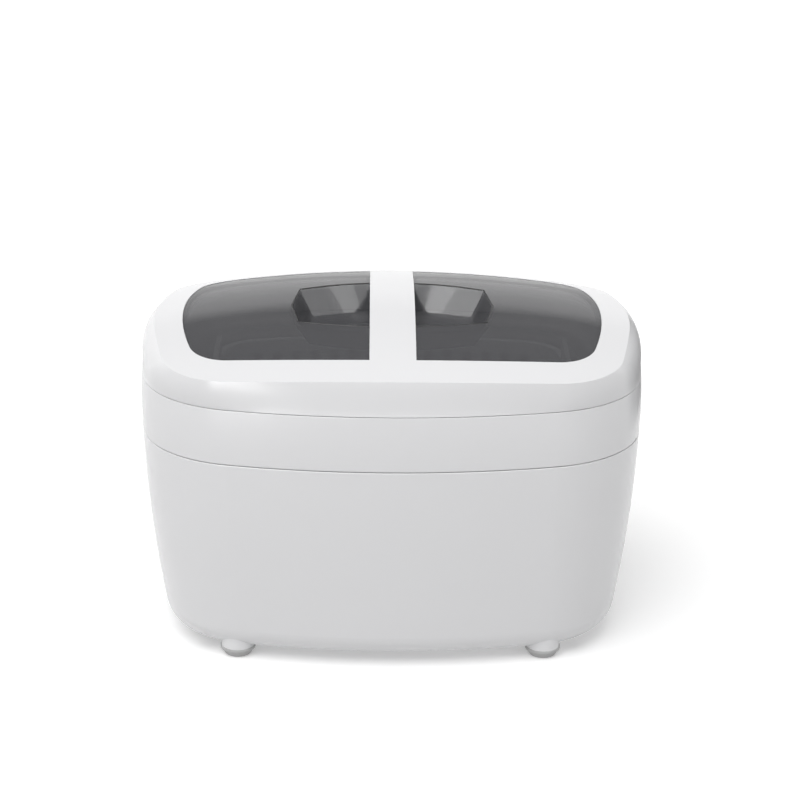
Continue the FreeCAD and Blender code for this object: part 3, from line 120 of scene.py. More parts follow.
class Effects:
    """The shader groups that several finishes share, each built once."""

    def __init__(self) -> None:
        """Start with no groups built."""
        self._built: dict[str, bpy.types.NodeTree] = {}

    def get(self, name: str) -> bpy.types.NodeTree:
        """Return a shared group, building it the first time it is asked for.

        Args:
            name: One of grain, drift, brushed, wipes, dust or traces.

        Returns:
            The node group.
        """
        if name not in self._built:
            maker: Callable[[], bpy.types.NodeTree] = getattr(self, f"_{name}")
            self._built[name] = maker()
        return self._built[name]

    @staticmethod
    def _new(name: str, inputs: dict[str, float], outputs: tuple[str, ...]) -> tuple:
        """Make an empty group with a Vector input, number inputs and number outputs.

        Args:
            name: The group's name.
            inputs: The number inputs with their defaults.
            outputs: The names of the outputs.

        Returns:
            The group, its input node and its output node.
        """
        tree = bpy.data.node_groups.new(name, "ShaderNodeTree")
        tree.interface.new_socket("Vector", in_out="INPUT", socket_type="NodeSocketVector")
        for key, default in inputs.items():
            socket = tree.interface.new_socket(key, in_out="INPUT", socket_type="NodeSocketFloat")
            socket.default_value = default
        for key in outputs:
            tree.interface.new_socket(key, in_out="OUTPUT", socket_type="NodeSocketFloat")
        return tree, tree.nodes.new("NodeGroupInput"), tree.nodes.new("NodeGroupOutput")

    def _grain(self) -> bpy.types.NodeTree:
        """Build the fine pebbled grain of a moulded or cast surface."""
        tree, given, made = self._new("fine_grain", {"Scale": 1500.0}, ("Height", "Mask"))
        fine = add_node(tree, "TexNoise", Detail=3.0, Roughness=0.55)
        cells = add_node(tree, "TexVoronoi")
        cells.feature = "SMOOTH_F1"
        both = add_node(tree, "Math")
        both.operation = "MULTIPLY_ADD"
        both.inputs[1].default_value = 0.5
        for node in (fine, cells):
            tree.links.new(given.outputs["Vector"], node.inputs["Vector"])
            tree.links.new(given.outputs["Scale"], node.inputs["Scale"])
        join(tree, (cells.outputs["Distance"], both.inputs[0]), (fine.outputs["Fac"], both.inputs[2]),
             (both.outputs[0], made.inputs["Height"]), (fine.outputs["Fac"], made.inputs["Mask"]))
        return tree

    def _drift(self) -> bpy.types.NodeTree:
        """Build the slow cloudy drift of colour and gloss across a piece."""
        tree, given, made = self._new("slow_drift", {"Scale": 12.0}, ("Mask",))
        cloud = add_node(tree, "TexNoise", Detail=4.0, Distortion=0.4)
        soft = add_node(tree, "MapRange", From_Min=0.3, From_Max=0.7)
        soft.interpolation_type = "SMOOTHSTEP"
        join(tree, (given.outputs["Vector"], cloud.inputs["Vector"]),
             (given.outputs["Scale"], cloud.inputs["Scale"]), (cloud.outputs["Fac"], soft.inputs["Value"]),
             (soft.outputs["Result"], made.inputs["Mask"]))
        return tree

    def _brushed(self) -> bpy.types.NodeTree:
        """Build the drawn lines of brushed or turned metal, which run along X."""
        tree, given, made = self._new("brushed_lines", {"Scale": 900.0}, ("Height", "Mask"))
        stretch = add_node(tree, "Mapping", Scale=(0.02, 1.0, 1.0))
        lines = add_node(tree, "TexNoise", Detail=5.0, Roughness=0.65)
        sharp = add_node(tree, "MapRange", From_Min=0.35, From_Max=0.65)
        join(tree, (given.outputs["Vector"], stretch.inputs["Vector"]),
             (stretch.outputs["Vector"], lines.inputs["Vector"]),
             (given.outputs["Scale"], lines.inputs["Scale"]), (lines.outputs["Fac"], sharp.inputs["Value"]),
             (sharp.outputs["Result"], made.inputs["Mask"]), (lines.outputs["Fac"], made.inputs["Height"]))
        return tree

    def _wipes(self) -> bpy.types.NodeTree:
        """Build the faint curved marks that wiping leaves on a gloss surface."""
        tree, given, made = self._new("wipe_marks", {"Scale": 30.0}, ("Mask",))
        sweep = add_node(tree, "TexWave", Distortion=9.0, Detail=3.0, Detail_Scale=1.4)
        sweep.wave_type = "RINGS"
        where = add_node(tree, "TexNoise", Scale=9.0)
        both = add_node(tree, "Math")
        both.operation = "MULTIPLY"
        join(tree, (given.outputs["Vector"], sweep.inputs["Vector"]),
             (given.outputs["Vector"], where.inputs["Vector"]),
             (given.outputs["Scale"], sweep.inputs["Scale"]), (sweep.outputs["Fac"], both.inputs[0]),
             (where.outputs["Fac"], both.inputs[1]), (both.outputs[0], made.inputs["Mask"]))
        return tree

    def _dust(self) -> bpy.types.NodeTree:
        """Build the thin film of dust that settles on faces that look up."""
        tree, given, made = self._new("settled_dust", {"Amount": 0.1}, ("Mask",))
        face = add_node(tree, "NewGeometry")
        split = add_node(tree, "SeparateXYZ")
        up = add_node(tree, "MapRange", From_Min=0.3, From_Max=1.0)
        specks = add_node(tree, "TexNoise", Scale=260.0, Detail=6.0)
        lit = add_node(tree, "Math")
        lit.operation = "MULTIPLY"
        amount = add_node(tree, "Math")
        amount.operation = "MULTIPLY"
        join(tree, (face.outputs["Normal"], split.inputs["Vector"]), (split.outputs["Z"], up.inputs["Value"]),
             (given.outputs["Vector"], specks.inputs["Vector"]), (up.outputs["Result"], lit.inputs[0]),
             (specks.outputs["Fac"], lit.inputs[1]), (lit.outputs[0], amount.inputs[0]),
             (given.outputs["Amount"], amount.inputs[1]), (amount.outputs[0], made.inputs["Mask"]))
        return tree

    def _traces(self) -> bpy.types.NodeTree:
        """Build the copper tracks that show through a board's solder mask."""
        tree, given, made = self._new("board_traces", {"Scale": 260.0}, ("Mask",))
        cells = add_node(tree, "TexVoronoi")
        cells.distance = "CHEBYCHEV"
        cells.feature = "F1"
        steps = add_node(tree, "MapRange")
        steps.interpolation_type = "STEPPED"
        steps.inputs["Steps"].default_value = 3.0
        join(tree, (given.outputs["Vector"], cells.inputs["Vector"]),
             (given.outputs["Scale"], cells.inputs["Scale"]),
             (cells.outputs["Distance"], steps.inputs["Value"]),
             (steps.outputs["Result"], made.inputs["Mask"]))
        return tree


EFFECTS = Effects()


class Shader:
    """A material under construction: its tree, its Principled shader and the object coordinates."""

    def __init__(self, name: str) -> None:
        """Start a material with a Principled shader.

        Args:
            name: The material's name.
        """
        self.material = bpy.data.materials.new(name)
        self.material.use_nodes = True
        self.tree = self.material.node_tree
        self.principled = next(node for node in self.tree.nodes if node.type == "BSDF_PRINCIPLED")
        self.where = add_node(self.tree, "TexCoord").outputs["Object"]

    def set(self, **values: float | tuple) -> None:
        """Set the shader's own sockets, named with underscores for spaces."""
        for key, given in values.items():
            self.principled.inputs[key.replace("_", " ")].default_value = given

    def link(self, output: Socket, key: str) -> None:
        """Link an output into one of the shader's sockets."""
        self.tree.links.new(output, self.principled.inputs[key])

    def effect(self, name: str, **values: float) -> bpy.types.Node:
        """Place a shared group on the object coordinates.

        Args:
            name: The group's name in Effects.
            **values: The group's number inputs.

        Returns:
            The group's node.
        """
        node = add_node(self.tree, "Group")
        node.node_tree = EFFECTS.get(name)
        self.tree.links.new(self.where, node.inputs["Vector"])
        for key, given in values.items():
            node.inputs[key].default_value = given
        return node

    def blend(self, mask: Socket, first: Colour, second: Colour) -> Socket:
        """Blend two colours by a mask.

        Args:
            mask: What decides, 0 for the first colour and 1 for the second.
            first: The first colour.
            second: The second colour.

        Returns:
            The blended colour.
        """
        mix = add_node(self.tree, "Mix")
        mix.data_type = "RGBA"
        mix.inputs[6].default_value = (*first, 1.0)
        mix.inputs[7].default_value = (*second, 1.0)
        self.tree.links.new(mask, mix.inputs[0])
        return mix.outputs[2]

    def layer(self, mask: Socket, base: Socket, top: Colour) -> Socket:
        """Lay a colour over another by a mask and return the result."""
        mix = add_node(self.tree, "Mix")
        mix.data_type = "RGBA"
        mix.inputs[7].default_value = (*top, 1.0)
        self.tree.links.new(mask, mix.inputs[0])
        self.tree.links.new(base, mix.inputs[6])
        return mix.outputs[2]

    def spread(self, mask: Socket, low: float, high: float) -> Socket:
        """Turn a mask from 0 to 1 into a value between two limits."""
        span = add_node(self.tree, "MapRange", To_Min=low, To_Max=high)
        self.tree.links.new(mask, span.inputs["Value"])
        return span.outputs["Result"]

    def bump(self, height: Socket, distance: float, strength: float = 1.0) -> None:
        """Raise the surface by a height map.

        Args:
            height: The height, from 0 to 1.
            distance: What a height of 1 stands for, in metres.
            strength: How strongly it shows.
        """
        node = add_node(self.tree, "Bump", Distance=distance, Strength=strength)
        self.tree.links.new(height, node.inputs["Height"])
        self.link(node.outputs["Normal"], "Normal")


# ---------------------------------------------------------------- finishes

@dataclass(frozen=True)
class Finish:
    """What every finish has: a name, a colour, the colour it drifts to (for a winding, the painted shade in
    the grooves between turns) and a roughness.
    """

    name: str
    colour: Colour
    drift: Colour
    roughness: float = 0.4

    def make(self) -> bpy.types.Material:
        """Return this finish's material, building it once."""
        return bpy.data.materials.get(self.name) or self.build(Shader(self.name))

    def build(self, shader: Shader) -> bpy.types.Material:
        """Build the material.

        Args:
            shader: The material under construction.

        Returns:
            The finished material.
        """
        raise NotImplementedError


@dataclass(frozen=True)
class Moulded(Finish):
    """Moulded plastic, from high gloss to a spark-eroded matte."""

    grain: Grain = Grain.SATIN
    coat: float = 0.0
    dust: float = 0.04

    def build(self, shader: Shader) -> bpy.types.Material:
        """Build the plastic with its drift of colour, wiping marks, grain and dust."""
        scale, height = self.grain.value
        drift = shader.effect("drift", Scale=11.0)
        grain = shader.effect("grain", Scale=scale)
        wipes = shader.effect("wipes", Scale=26.0)
        dust = shader.effect("dust", Amount=self.dust)
        colour = shader.blend(drift.outputs["Mask"], self.colour, self.drift)
        shader.link(shader.layer(dust.outputs["Mask"], colour, DUST), "Base Color")
        worn = self.roughness * 1.3 + 0.01
        shader.link(shader.spread(wipes.outputs["Mask"], self.roughness, worn), "Roughness")
        shader.set(Coat_Weight=self.coat, Coat_Roughness=0.012, IOR=1.49)
        shader.bump(grain.outputs["Height"], height)
        return shader.material


@dataclass(frozen=True)
class Acrylic(Finish):
    """Clear or smoked acrylic sheet with a polished face."""

    clearness: float = 0.9

    def build(self, shader: Shader) -> bpy.types.Material:
        """Build the acrylic, tinted through and through, with the faintest wiping marks."""
        drift = shader.effect("drift", Scale=7.0)
        wipes = shader.effect("wipes", Scale=34.0)
        shader.link(shader.blend(drift.outputs["Mask"], self.colour, self.drift), "Base Color")
        shader.link(shader.spread(wipes.outputs["Mask"], self.roughness, self.roughness + 0.05), "Roughness")
        shader.set(Transmission_Weight=self.clearness, Metallic=0.0, IOR=1.49)
        return shader.material


@dataclass(frozen=True)
class Metal(Finish):
    """Drawn, turned or plated metal."""

    line_scale: float = 900.0
    line_height: float = 0.00001

    def build(self, shader: Shader) -> bpy.types.Material:
        """Build the metal with its drawn lines and a slow drift of tone."""
        lines = shader.effect("brushed", Scale=self.line_scale)
        drift = shader.effect("drift", Scale=9.0)
        colour = shader.blend(drift.outputs["Mask"], self.colour, self.drift)
        dark = shader.spread(lines.outputs["Mask"], 0.0, 0.18)
        shader.link(shader.layer(dark, colour, tuple(0.6 * part for part in self.colour)), "Base Color")
        gloss, dull = self.roughness * 0.8, self.roughness * 1.3
        shader.link(shader.spread(lines.outputs["Mask"], gloss, dull), "Roughness")
        shader.set(Metallic=1.0)
        shader.bump(lines.outputs["Height"], self.line_height)
        return shader.material


@dataclass(frozen=True)
class Soft(Finish):
    """Rubber, silicone and unglazed ceramic: matte, with pores and a dusty bloom."""

    pore_scale: float = 1400.0
    pore_height: float = 0.00006
    bloom: float = 0.12

    def build(self, shader: Shader) -> bpy.types.Material:
        """Build the matte body with its pores and bloom."""
        pores = shader.effect("grain", Scale=self.pore_scale)
        drift = shader.effect("drift", Scale=40.0)
        dust = shader.effect("dust", Amount=self.bloom)
        colour = shader.blend(drift.outputs["Mask"], self.colour, self.drift)
        shader.link(shader.layer(dust.outputs["Mask"], colour, BLOOM), "Base Color")
        gloss, dull = self.roughness * 0.9, self.roughness * 1.1
        shader.link(shader.spread(pores.outputs["Mask"], gloss, dull), "Roughness")
        shader.bump(pores.outputs["Height"], self.pore_height)
        return shader.material


@dataclass(frozen=True)
class Laminate(Finish):
    """A circuit board's solder mask with the tracks under it."""

    def build(self, shader: Shader) -> bpy.types.Material:
        """Build the board with lighter tracks and their slight relief."""
        traces = shader.effect("traces", Scale=260.0)
        shader.link(shader.blend(traces.outputs["Mask"], self.colour, self.drift), "Base Color")
        shader.link(shader.spread(traces.outputs["Mask"], self.roughness, self.roughness * 0.7), "Roughness")
        shader.bump(traces.outputs["Mask"], 0.00003)
        return shader.material


@dataclass(frozen=True)
class Wound(Finish):
    """Enamelled wire laid turn by turn."""

    turns_per_metre: float = 900.0

    def build(self, shader: Shader) -> bpy.types.Material:
        """Build the winding with a ridge for each turn, and painted shade in the grooves between turns."""
        wave = add_node(shader.tree, "TexWave", Scale=self.turns_per_metre / 6.0, Distortion=0.3)
        wave.bands_direction = "Z"
        shader.tree.links.new(shader.where, wave.inputs["Vector"])
        # Darker colour where the bump is low, in the grooves between turns: painted shade.
        shader.link(shader.blend(wave.outputs["Fac"], self.drift, self.colour), "Base Color")
        shader.link(shader.spread(wave.outputs["Fac"], self.roughness * 1.4, self.roughness), "Roughness")
        shader.set(Metallic=0.85)
        shader.bump(wave.outputs["Fac"], 0.0004)
        return shader.material


@dataclass(frozen=True)
class Glow(Finish):
    """A display segment that is lit a little."""

    strength: float = 0.6

    def build(self, shader: Shader) -> bpy.types.Material:
        """Build the segment with an uneven glow."""
        drift = shader.effect("drift", Scale=300.0)
        colour = shader.blend(drift.outputs["Mask"], self.colour, self.drift)
        shader.link(colour, "Base Color")
        shader.link(colour, "Emission Color")
        shader.link(shader.spread(drift.outputs["Mask"], self.roughness, self.roughness * 1.2), "Roughness")
        shader.set(Emission_Strength=self.strength)
        return shader.material


FINISHES: dict[str, Finish] = {
    "case_white": Moulded("case_white", (0.62, 0.62, 0.62), (0.605, 0.605, 0.605), 0.1,
                          Grain.POLISHED, 0.15, 0.02),
    "ring_white": Moulded("ring_white", (0.76, 0.76, 0.76), (0.73, 0.73, 0.735), 0.42),
    "smoked_window": Acrylic("smoked_window", (0.022, 0.022, 0.022), (0.019, 0.019, 0.019), 0.02, 0.35),
    "screw_steel": Metal("screw_steel", (0.62, 0.62, 0.61), (0.5, 0.5, 0.5), 0.3),
    "tank_steel": Metal("tank_steel", (0.72, 0.72, 0.71), (0.66, 0.66, 0.655), 0.24, 700.0, 0.000012),
    "silicone": Soft("silicone", (0.66, 0.66, 0.64), (0.6, 0.6, 0.585), 0.5, 900.0, 0.00003),
    "basket_plastic": Moulded("basket_plastic", (0.72, 0.73, 0.74), (0.68, 0.69, 0.70), 0.4),
    "foot_rubber": Soft("foot_rubber", (0.6, 0.6, 0.595), (0.55, 0.55, 0.545), 0.7),
    "heater_ceramic": Soft("heater_ceramic", (0.5, 0.16, 0.07), (0.42, 0.13, 0.06), 0.65, 2200.0),
    "black_plastic": Moulded("black_plastic", (0.03, 0.03, 0.032), (0.022, 0.022, 0.024), 0.45, Grain.SPARK),
    "sensor_brass": Metal("sensor_brass", (0.78, 0.58, 0.28), (0.66, 0.48, 0.22), 0.3),
    "board_green": Laminate("board_green", (0.015, 0.12, 0.045), (0.05, 0.24, 0.09), 0.35),
    "capacitor_sleeve": Moulded("capacitor_sleeve", (0.03, 0.04, 0.09), (0.025, 0.03, 0.07), 0.3),
    "ferrite": Soft("ferrite", (0.06, 0.06, 0.062), (0.045, 0.045, 0.047), 0.6, 3000.0),
    # The winding's second colour is painted shade for the grooves between turns.
    "copper_wire": Wound("copper_wire", (0.72, 0.28, 0.12), (0.3, 0.1, 0.04), 0.28),
    "relay_blue": Moulded("relay_blue", (0.03, 0.08, 0.35), (0.025, 0.065, 0.3), 0.35),
    "heatsink_aluminium": Metal("heatsink_aluminium", (0.7, 0.7, 0.7), (0.6, 0.6, 0.605), 0.35),
    "fuse_glass": Acrylic("fuse_glass", (0.9, 0.93, 0.92), (0.86, 0.9, 0.9), 0.01, 1.0),
    "connector_white": Moulded("connector_white", (0.74, 0.73, 0.66), (0.7, 0.68, 0.6), 0.4),
    "mass_aluminium": Metal("mass_aluminium", (0.75, 0.75, 0.755), (0.68, 0.68, 0.685), 0.3),
    "mass_steel": Metal("mass_steel", (0.5, 0.5, 0.5), (0.42, 0.42, 0.42), 0.35),
    "piezo_ceramic": Soft("piezo_ceramic", (0.6, 0.58, 0.52), (0.52, 0.5, 0.45), 0.45, 4000.0, 0.00002),
    "panel_grey": Moulded("panel_grey", (0.07, 0.07, 0.075), (0.06, 0.06, 0.065), 0.4, Grain.SPARK),
    "display_lens": Acrylic("display_lens", (0.62, 0.62, 0.63), (0.58, 0.58, 0.59), 0.02, 0.96),
    "button_white": Moulded("button_white", (0.76, 0.76, 0.76), (0.72, 0.72, 0.725), 0.38),
}
WIRE = Metal("enamelled_wire", (0.72, 0.28, 0.12), (0.6, 0.22, 0.09), 0.24, 2000.0, 0.000004)
# Near-black finish of the tube round the lid's finger pocket: painted shade, the shadow line at the pocket's
# edge.
POCKET_SHADE_LINE = Moulded("pocket_shade_line", (0.012, 0.012, 0.012), (0.016, 0.016, 0.016), 0.35, Grain.SATIN, 0.0, 0.01)
MARK_GREY = Moulded("mark_grey", (0.16, 0.17, 0.18), (0.13, 0.14, 0.15), 0.5)
SEGMENT = Glow("display_segment", (0.75, 0.9, 1.0), (0.6, 0.8, 0.95), 0.4, 1.6)


# ---------------------------------------------------------------- mesh helpers

class Piece:
    """A piece under construction: a bmesh that becomes an object riding on a body."""

    def __init__(self, name: str) -> None:
        """Start an empty piece."""
        self.name = name
        self.mesh = bmesh.new()

    @staticmethod
    def spun(made: bmesh.types.BMesh, axis: Point, steps: int) -> None:
        """Spin an open outline through a full turn about an axis and close its seam.

        Args:
            made: The bmesh that holds the outline alone.
            axis: The axis, through the origin.
            steps: How many segments the full turn has.
        """
        bmesh.ops.spin(made, geom=made.verts[:] + made.edges[:], cent=(0, 0, 0), axis=axis,
                       dvec=(0, 0, 0), angle=math.tau, steps=steps, use_merge=True)
        bmesh.ops.remove_doubles(made, verts=made.verts[:], dist=1e-7)
        bmesh.ops.recalc_face_normals(made, faces=made.faces[:])

    def turned(self, profile: list[tuple[float, float]], centre: Point, axis: Axis = Axis.UP,
               steps: int = 64) -> None:
        """Spin a profile into a closed turned shape.

        Args:
            profile: Radius and height pairs from the axis, round the outside and back to the axis.
            centre: The point that the heights count from.
            axis: The direction that the piece stands along.
            steps: How many segments the full turn has.
        """
        made = bmesh.new()
        verts = [made.verts.new((radius, 0.0, height)) for radius, height in profile]
        for first, second in zip(verts, verts[1:]):
            made.edges.new((first, second))
        self.spun(made, (0.0, 0.0, 1.0), steps)
        if axis is Axis.BACK:
            bmesh.ops.rotate(made, verts=made.verts[:], cent=(0, 0, 0),
                             matrix=Matrix.Rotation(-math.pi / 2, 3, "X"))
        bmesh.ops.translate(made, verts=made.verts[:], vec=centre)
        self.take(made)

    def ring(self, mean: float, thick: float, place: Matrix, steps: int, sides: int) -> None:
        """Spin a round section about the X axis into a ring.

        Args:
            mean: The radius at the middle of the section.
            thick: The radius of the section.
            place: Where the ring goes, from the origin.
            steps: How many segments the full turn has.
            sides: How many sides the section has.
        """
        made = bmesh.new()
        bmesh.ops.create_circle(made, cap_ends=False, segments=sides, radius=thick)
        bmesh.ops.translate(made, verts=made.verts[:], vec=(0.0, mean, 0.0))
        self.spun(made, (1.0, 0.0, 0.0), steps)
        bmesh.ops.transform(made, verts=made.verts[:], matrix=place)
        self.take(made)

    def tube(self, path: list[Vector], radius: float, sides: int) -> None:
        """Run a round tube along a closed path.

        Args:
            path: The points along its middle, without the first one again at the end.
            radius: Its radius.
            sides: How many sides its section has.
        """
        made = bmesh.new()
        loops = []
        for before, here, after in zip(path[-1:] + path[:-1], path, path[1:] + path[:1]):
            section = bmesh.ops.create_circle(made, cap_ends=False, segments=sides, radius=radius)["verts"]
            own = set(section)
            along = (after - before).normalized().to_track_quat("Z", "Y").to_matrix().to_4x4()
            bmesh.ops.transform(made, verts=section, matrix=Matrix.Translation(here) @ along)
            loops.append([edge for edge in made.edges if own.issuperset(edge.verts)])
        for first, second in zip(loops, loops[1:] + loops[:1]):
            bmesh.ops.bridge_loops(made, edges=first + second)
        bmesh.ops.recalc_face_normals(made, faces=made.faces[:])
        self.take(made)

    def take(self, other: bmesh.types.BMesh) -> None:
        """Add another bmesh to this piece and free it."""
        mesh = bpy.data.meshes.new("part")
        other.to_mesh(mesh)
        other.free()
        self.mesh.from_mesh(mesh)
        bpy.data.meshes.remove(mesh)

    def slab(self, low: Point, high: Point, round_by: float, segments: int = 3) -> None:
        """Add a block with rounded edges.

        Args:
            low: Its lowest corner.
            high: Its highest corner.
            round_by: The radius of its edges.
            segments: How many segments each round has.
        """
        made = bmesh.new()
        bmesh.ops.create_cube(made, size=1.0)
        size = Vector(high) - Vector(low)
        bmesh.ops.scale(made, verts=made.verts[:], vec=size)
        bmesh.ops.translate(made, verts=made.verts[:], vec=(Vector(low) + Vector(high)) / 2)
        bmesh.ops.bevel(made, geom=made.edges[:], offset=round_by, offset_type="OFFSET", segments=segments,
                        profile=0.5, affect="EDGES", material=-1)
        self.take(made)

    def finish(self, body: str, finish: Finish, slot: str | None,
               replaces: tuple[str, ...] = ()) -> bpy.types.Object:
        """Make the object, dress it and set it riding.

        Args:
            body: The body that it rides on.
            finish: Its finish.
            slot: The record's material slot, or None where the record has none for it; not used.
            replaces: The nodes that it stands for.

        Returns:
            The new object.
        """
        data = bpy.data.meshes.new(self.name)
        self.mesh.to_mesh(data)
        self.mesh.free()
        data.materials.append(finish.make())
        data.polygons.foreach_set("use_smooth", [True] * len(data.polygons))
        data.set_sharp_from_angle(angle=math.radians(35))
        item = bpy.data.objects.new(self.name, data)
        bpy.context.scene.collection.objects.link(item)
        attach(item, body)
        if replaces:
            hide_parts(*replaces)
        LOG.info("%s: %d faces on %s", self.name, len(data.polygons), body)
        return item


def centre_of(node: str) -> Vector:
    """The centre of a node's box."""
    low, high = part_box(node)
    return (Vector(low) + Vector(high)) / 2


# ---------------------------------------------------------------- sub-assemblies

@dataclass
class SubAssembly:
    """Some of the model's nodes, with the finish of each and the pieces made for them."""

    nodes: dict[str, bpy.types.Object]
    slots: dict[str, str]
    title: str = "sub-assembly"

    def own(self) -> tuple[str, ...]:
        """The nodes of this sub-assembly."""
        raise NotImplementedError

    def dress(self) -> None:
        """Give each node the finish of its material slot."""
        for name in self.own():
            item = self.nodes[name]
            material = FINISHES[self.slots[name]].make()
            for place in item.material_slots:
                place.material = material
            if not item.material_slots:
                item.data.materials.append(material)
            LOG.info("%s: %s wears %s", self.title, name, material.name)

    def make(self) -> None:
        """Build the pieces that stand for nodes or are added to them."""

    def build(self) -> None:
        """Dress the nodes and build the pieces."""
        self.dress()
        self.make()


@dataclass
class Case(SubAssembly):
    """The lower and upper housings with their screws and feet."""

    title: str = "case"
    foot_round: float = 1.2 * MM
    foot_cup: float = 1.0 * MM
    foot_shoulder: float = 3.2 * MM
    foot_collar: float = 5.6 * MM
    stem_radius: float = 3.0 * MM
    cup_edge: float = 0.42
    sole_inner: float = 0.52
    sole_outer: float = 0.66
    flare_from: float = 0.7
    flare_curve: float = 1.6

    def own(self) -> tuple[str, ...]:
        """The housings, the screws and the feet."""
        return ("lower_housing", "upper_housing", "housing_screws", "foot_front_left", "foot_front_right",
                "foot_back_left", "foot_back_right")

    def make(self) -> None:
        """Turn the four feet."""
        for name in ("foot_front_left", "foot_front_right", "foot_back_left", "foot_back_right"):
            self.foot(name)

    def foot(self, node: str) -> None:
        """Turn one rubber foot with a rolled edge and a cupped sole.

        Args:
            node: The node that it stands for.
        """
        low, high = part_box(node)
        middle = centre_of(node)
        radius = (high[0] - low[0]) / 2
        tall = high[2] - low[2]
        r = self.foot_round
        flare = radius * (1 - self.flare_from) - r
        profile = [(0.0, self.foot_cup), (radius * self.cup_edge, self.foot_cup)]
        profile += [(radius * self.sole_inner, 0.0), (radius * self.sole_outer, 0.0)]
        for step in range(1, 5):
            share = step / 4
            rise = self.foot_shoulder * share ** self.flare_curve
            profile.append((radius * self.flare_from + flare * share, rise))
        for step in range(1, 6):
            turn = math.radians(18 * step)
            profile.append((radius - r + r * math.sin(turn), self.foot_shoulder + r * (1 - math.cos(turn))))
        profile += [(radius, self.foot_collar), (self.stem_radius, self.foot_collar)]
        profile += [(self.stem_radius, tall), (0.0, tall)]
        piece = Piece(f"{node}_rubber")
        piece.turned(profile, (middle[0], middle[1], 0.0), steps=72)
        piece.finish("base", FINISHES["foot_rubber"], "foot_rubber", (node,))


@dataclass
class Lid(SubAssembly):
    """The lift-off lid: frame, smoked window, inner ring and screws."""

    title: str = "lid"
    pocket_corner: float = 56.5 * MM
    pocket_tip: float = 60.5 * MM
    pocket_far: float = 34.0 * MM
    pocket_near: float = 48.0 * MM
    pocket_bow: float = 11.0 * MM
    pocket_middle: float = -10.0 * MM
    pocket_level: float = 196.5 * MM
    pocket_slope: float = 0.5
    shade_line_radius: float = 0.4 * MM
    shade_line_steps: int = 40
    shade_line_stand: float = 2.5
    ray_height: float = 0.3

    def own(self) -> tuple[str, ...]:
        """The lid's four nodes."""
        return ("lid_frame", "lid_window", "lid_inner_ring", "lid_screws")

    def make(self) -> None:
        """Lay a dark tube round the finger pocket: painted shade, standing for the shadow line at its edge.
        """
        self.shade_line("lid_window")

    def rim(self) -> list[tuple[float, float]]:
        """The pocket's outline in plan, point by point: two bowed long sides and two pointed ends."""
        corner, tip = self.pocket_corner, self.pocket_tip
        sweep = self.pocket_bow
        round_by = (corner ** 2 + sweep ** 2) / (2 * sweep)
        points = []
        for edge, out in ((self.pocket_near, -1.0), (self.pocket_far, 1.0)):
            for step in range(self.shade_line_steps + 1):
                x = out * corner * (1 - 2 * step / self.shade_line_steps)
                points.append((x, out * (edge - round_by + math.sqrt(round_by ** 2 - x ** 2))))
            points.append((-out * tip, self.pocket_middle))
        return points

    def shade_line(self, node: str) -> None:
        """Run a thin dark tube along the pocket's edge where it breaks the window's surface: painted shade
        for the shadow line there.

        Args:
            node: The window, whose surface the dark tube lies on.
        """
        pane = bmesh.new()
        pane.from_mesh(self.nodes[node].data)
        pane.transform(self.nodes[node].matrix_world)
        surface = BVHTree.FromBMesh(pane)
        pane.free()
        path = []
        middle = Vector((0.0, self.pocket_middle, 0.0))
        for x, y in self.rim():
            outward = (Vector((x, y, 0.0)) - middle).normalized() * self.shade_line_radius
            start = Vector((x, y, self.ray_height)) + outward * self.shade_line_stand
            hit = surface.ray_cast(start, Vector((0.0, 0.0, -1.0)))[0]
            top = hit.z if hit else self.pocket_level
            drawn = (top - self.pocket_level) * self.pocket_slope
            path.append(Vector((x, y, top)) + outward.normalized() * drawn)
        # The tube's near-black finish is painted shade: the shadow line at the pocket's edge.
        piece = Piece("pocket_shade_line")
        piece.tube(path, self.shade_line_radius, 10)
        piece.finish("lid", POCKET_SHADE_LINE, None)


@dataclass
class Bath(SubAssembly):
    """The steel tank, its gasket and the basket in it."""

    title: str = "bath"

    def own(self) -> tuple[str, ...]:
        """The tank, the gasket and the basket."""
        return ("tank", "tank_gasket", "basket")


@dataclass
class Drive(SubAssembly):
    """The two transducers, the heaters and the sensors on the tank."""

    title: str = "drive"

    def own(self) -> tuple[str, ...]:
        """The transducers' nodes, the heaters and the sensors."""
        stacks = [f"transducer_{side}_{part}" for side in ("left", "right")
                  for part in ("front_mass", "piezo_rings", "electrodes", "back_mass", "bolt")]
        return (*stacks, "heater_front", "heater_back", "thermal_cutout", "temperature_sensor")


@dataclass
class Electronics(SubAssembly):
    """The main board with what stands on it, the fan and the mains inlet."""

    title: str = "electronics"
    wire_radius: float = 0.75 * MM
    wire_pitch: float = 2.1

    def own(self) -> tuple[str, ...]:
        """The board's nodes, the fan's and the inlet's."""
        return ("main_board", "board_screws", "mains_capacitor", "transformer_core", "transformer_winding",
                "output_coil", "relay", "heatsink", "power_transistors", "fuse_glass", "fuse_clips",
                "board_connectors", "fan_frame", "fan_rotor", "fan_screws", "mains_inlet", "inlet_pins")

    def make(self) -> None:
        """Wind the output coil."""
        self.coil("output_coil")

    def coil(self, node: str) -> None:
        """Wind a toroid: a ring core with one loop of wire for each turn.

        Args:
            node: The node that it stands for.
        """
        low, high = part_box(node)
        middle = centre_of(node)
        thick = (high[0] - low[0]) / 2
        mean = (high[2] - low[2]) / 2 - thick
        core = Piece("output_coil_core")
        core.ring(mean, thick - 2 * self.wire_radius, Matrix.Translation(middle), 64, 24)
        core.finish("base", FINISHES["ferrite"], None)
        wire = Piece("output_coil_wire")
        turns = int(math.tau * (mean - thick + self.wire_radius) / (self.wire_pitch * self.wire_radius))
        across = Matrix.Rotation(-math.pi / 2, 4, "Y")
        for turn in range(turns):
            about = Matrix.Rotation(math.tau * turn / turns, 4, "X")
            place = Matrix.Translation(middle) @ about @ Matrix.Translation((0.0, mean, 0.0)) @ across
            wire.ring(thick - self.wire_radius, self.wire_radius, place, 28, 10)
        wire.finish("base", WIRE, "copper_wire", (node,))


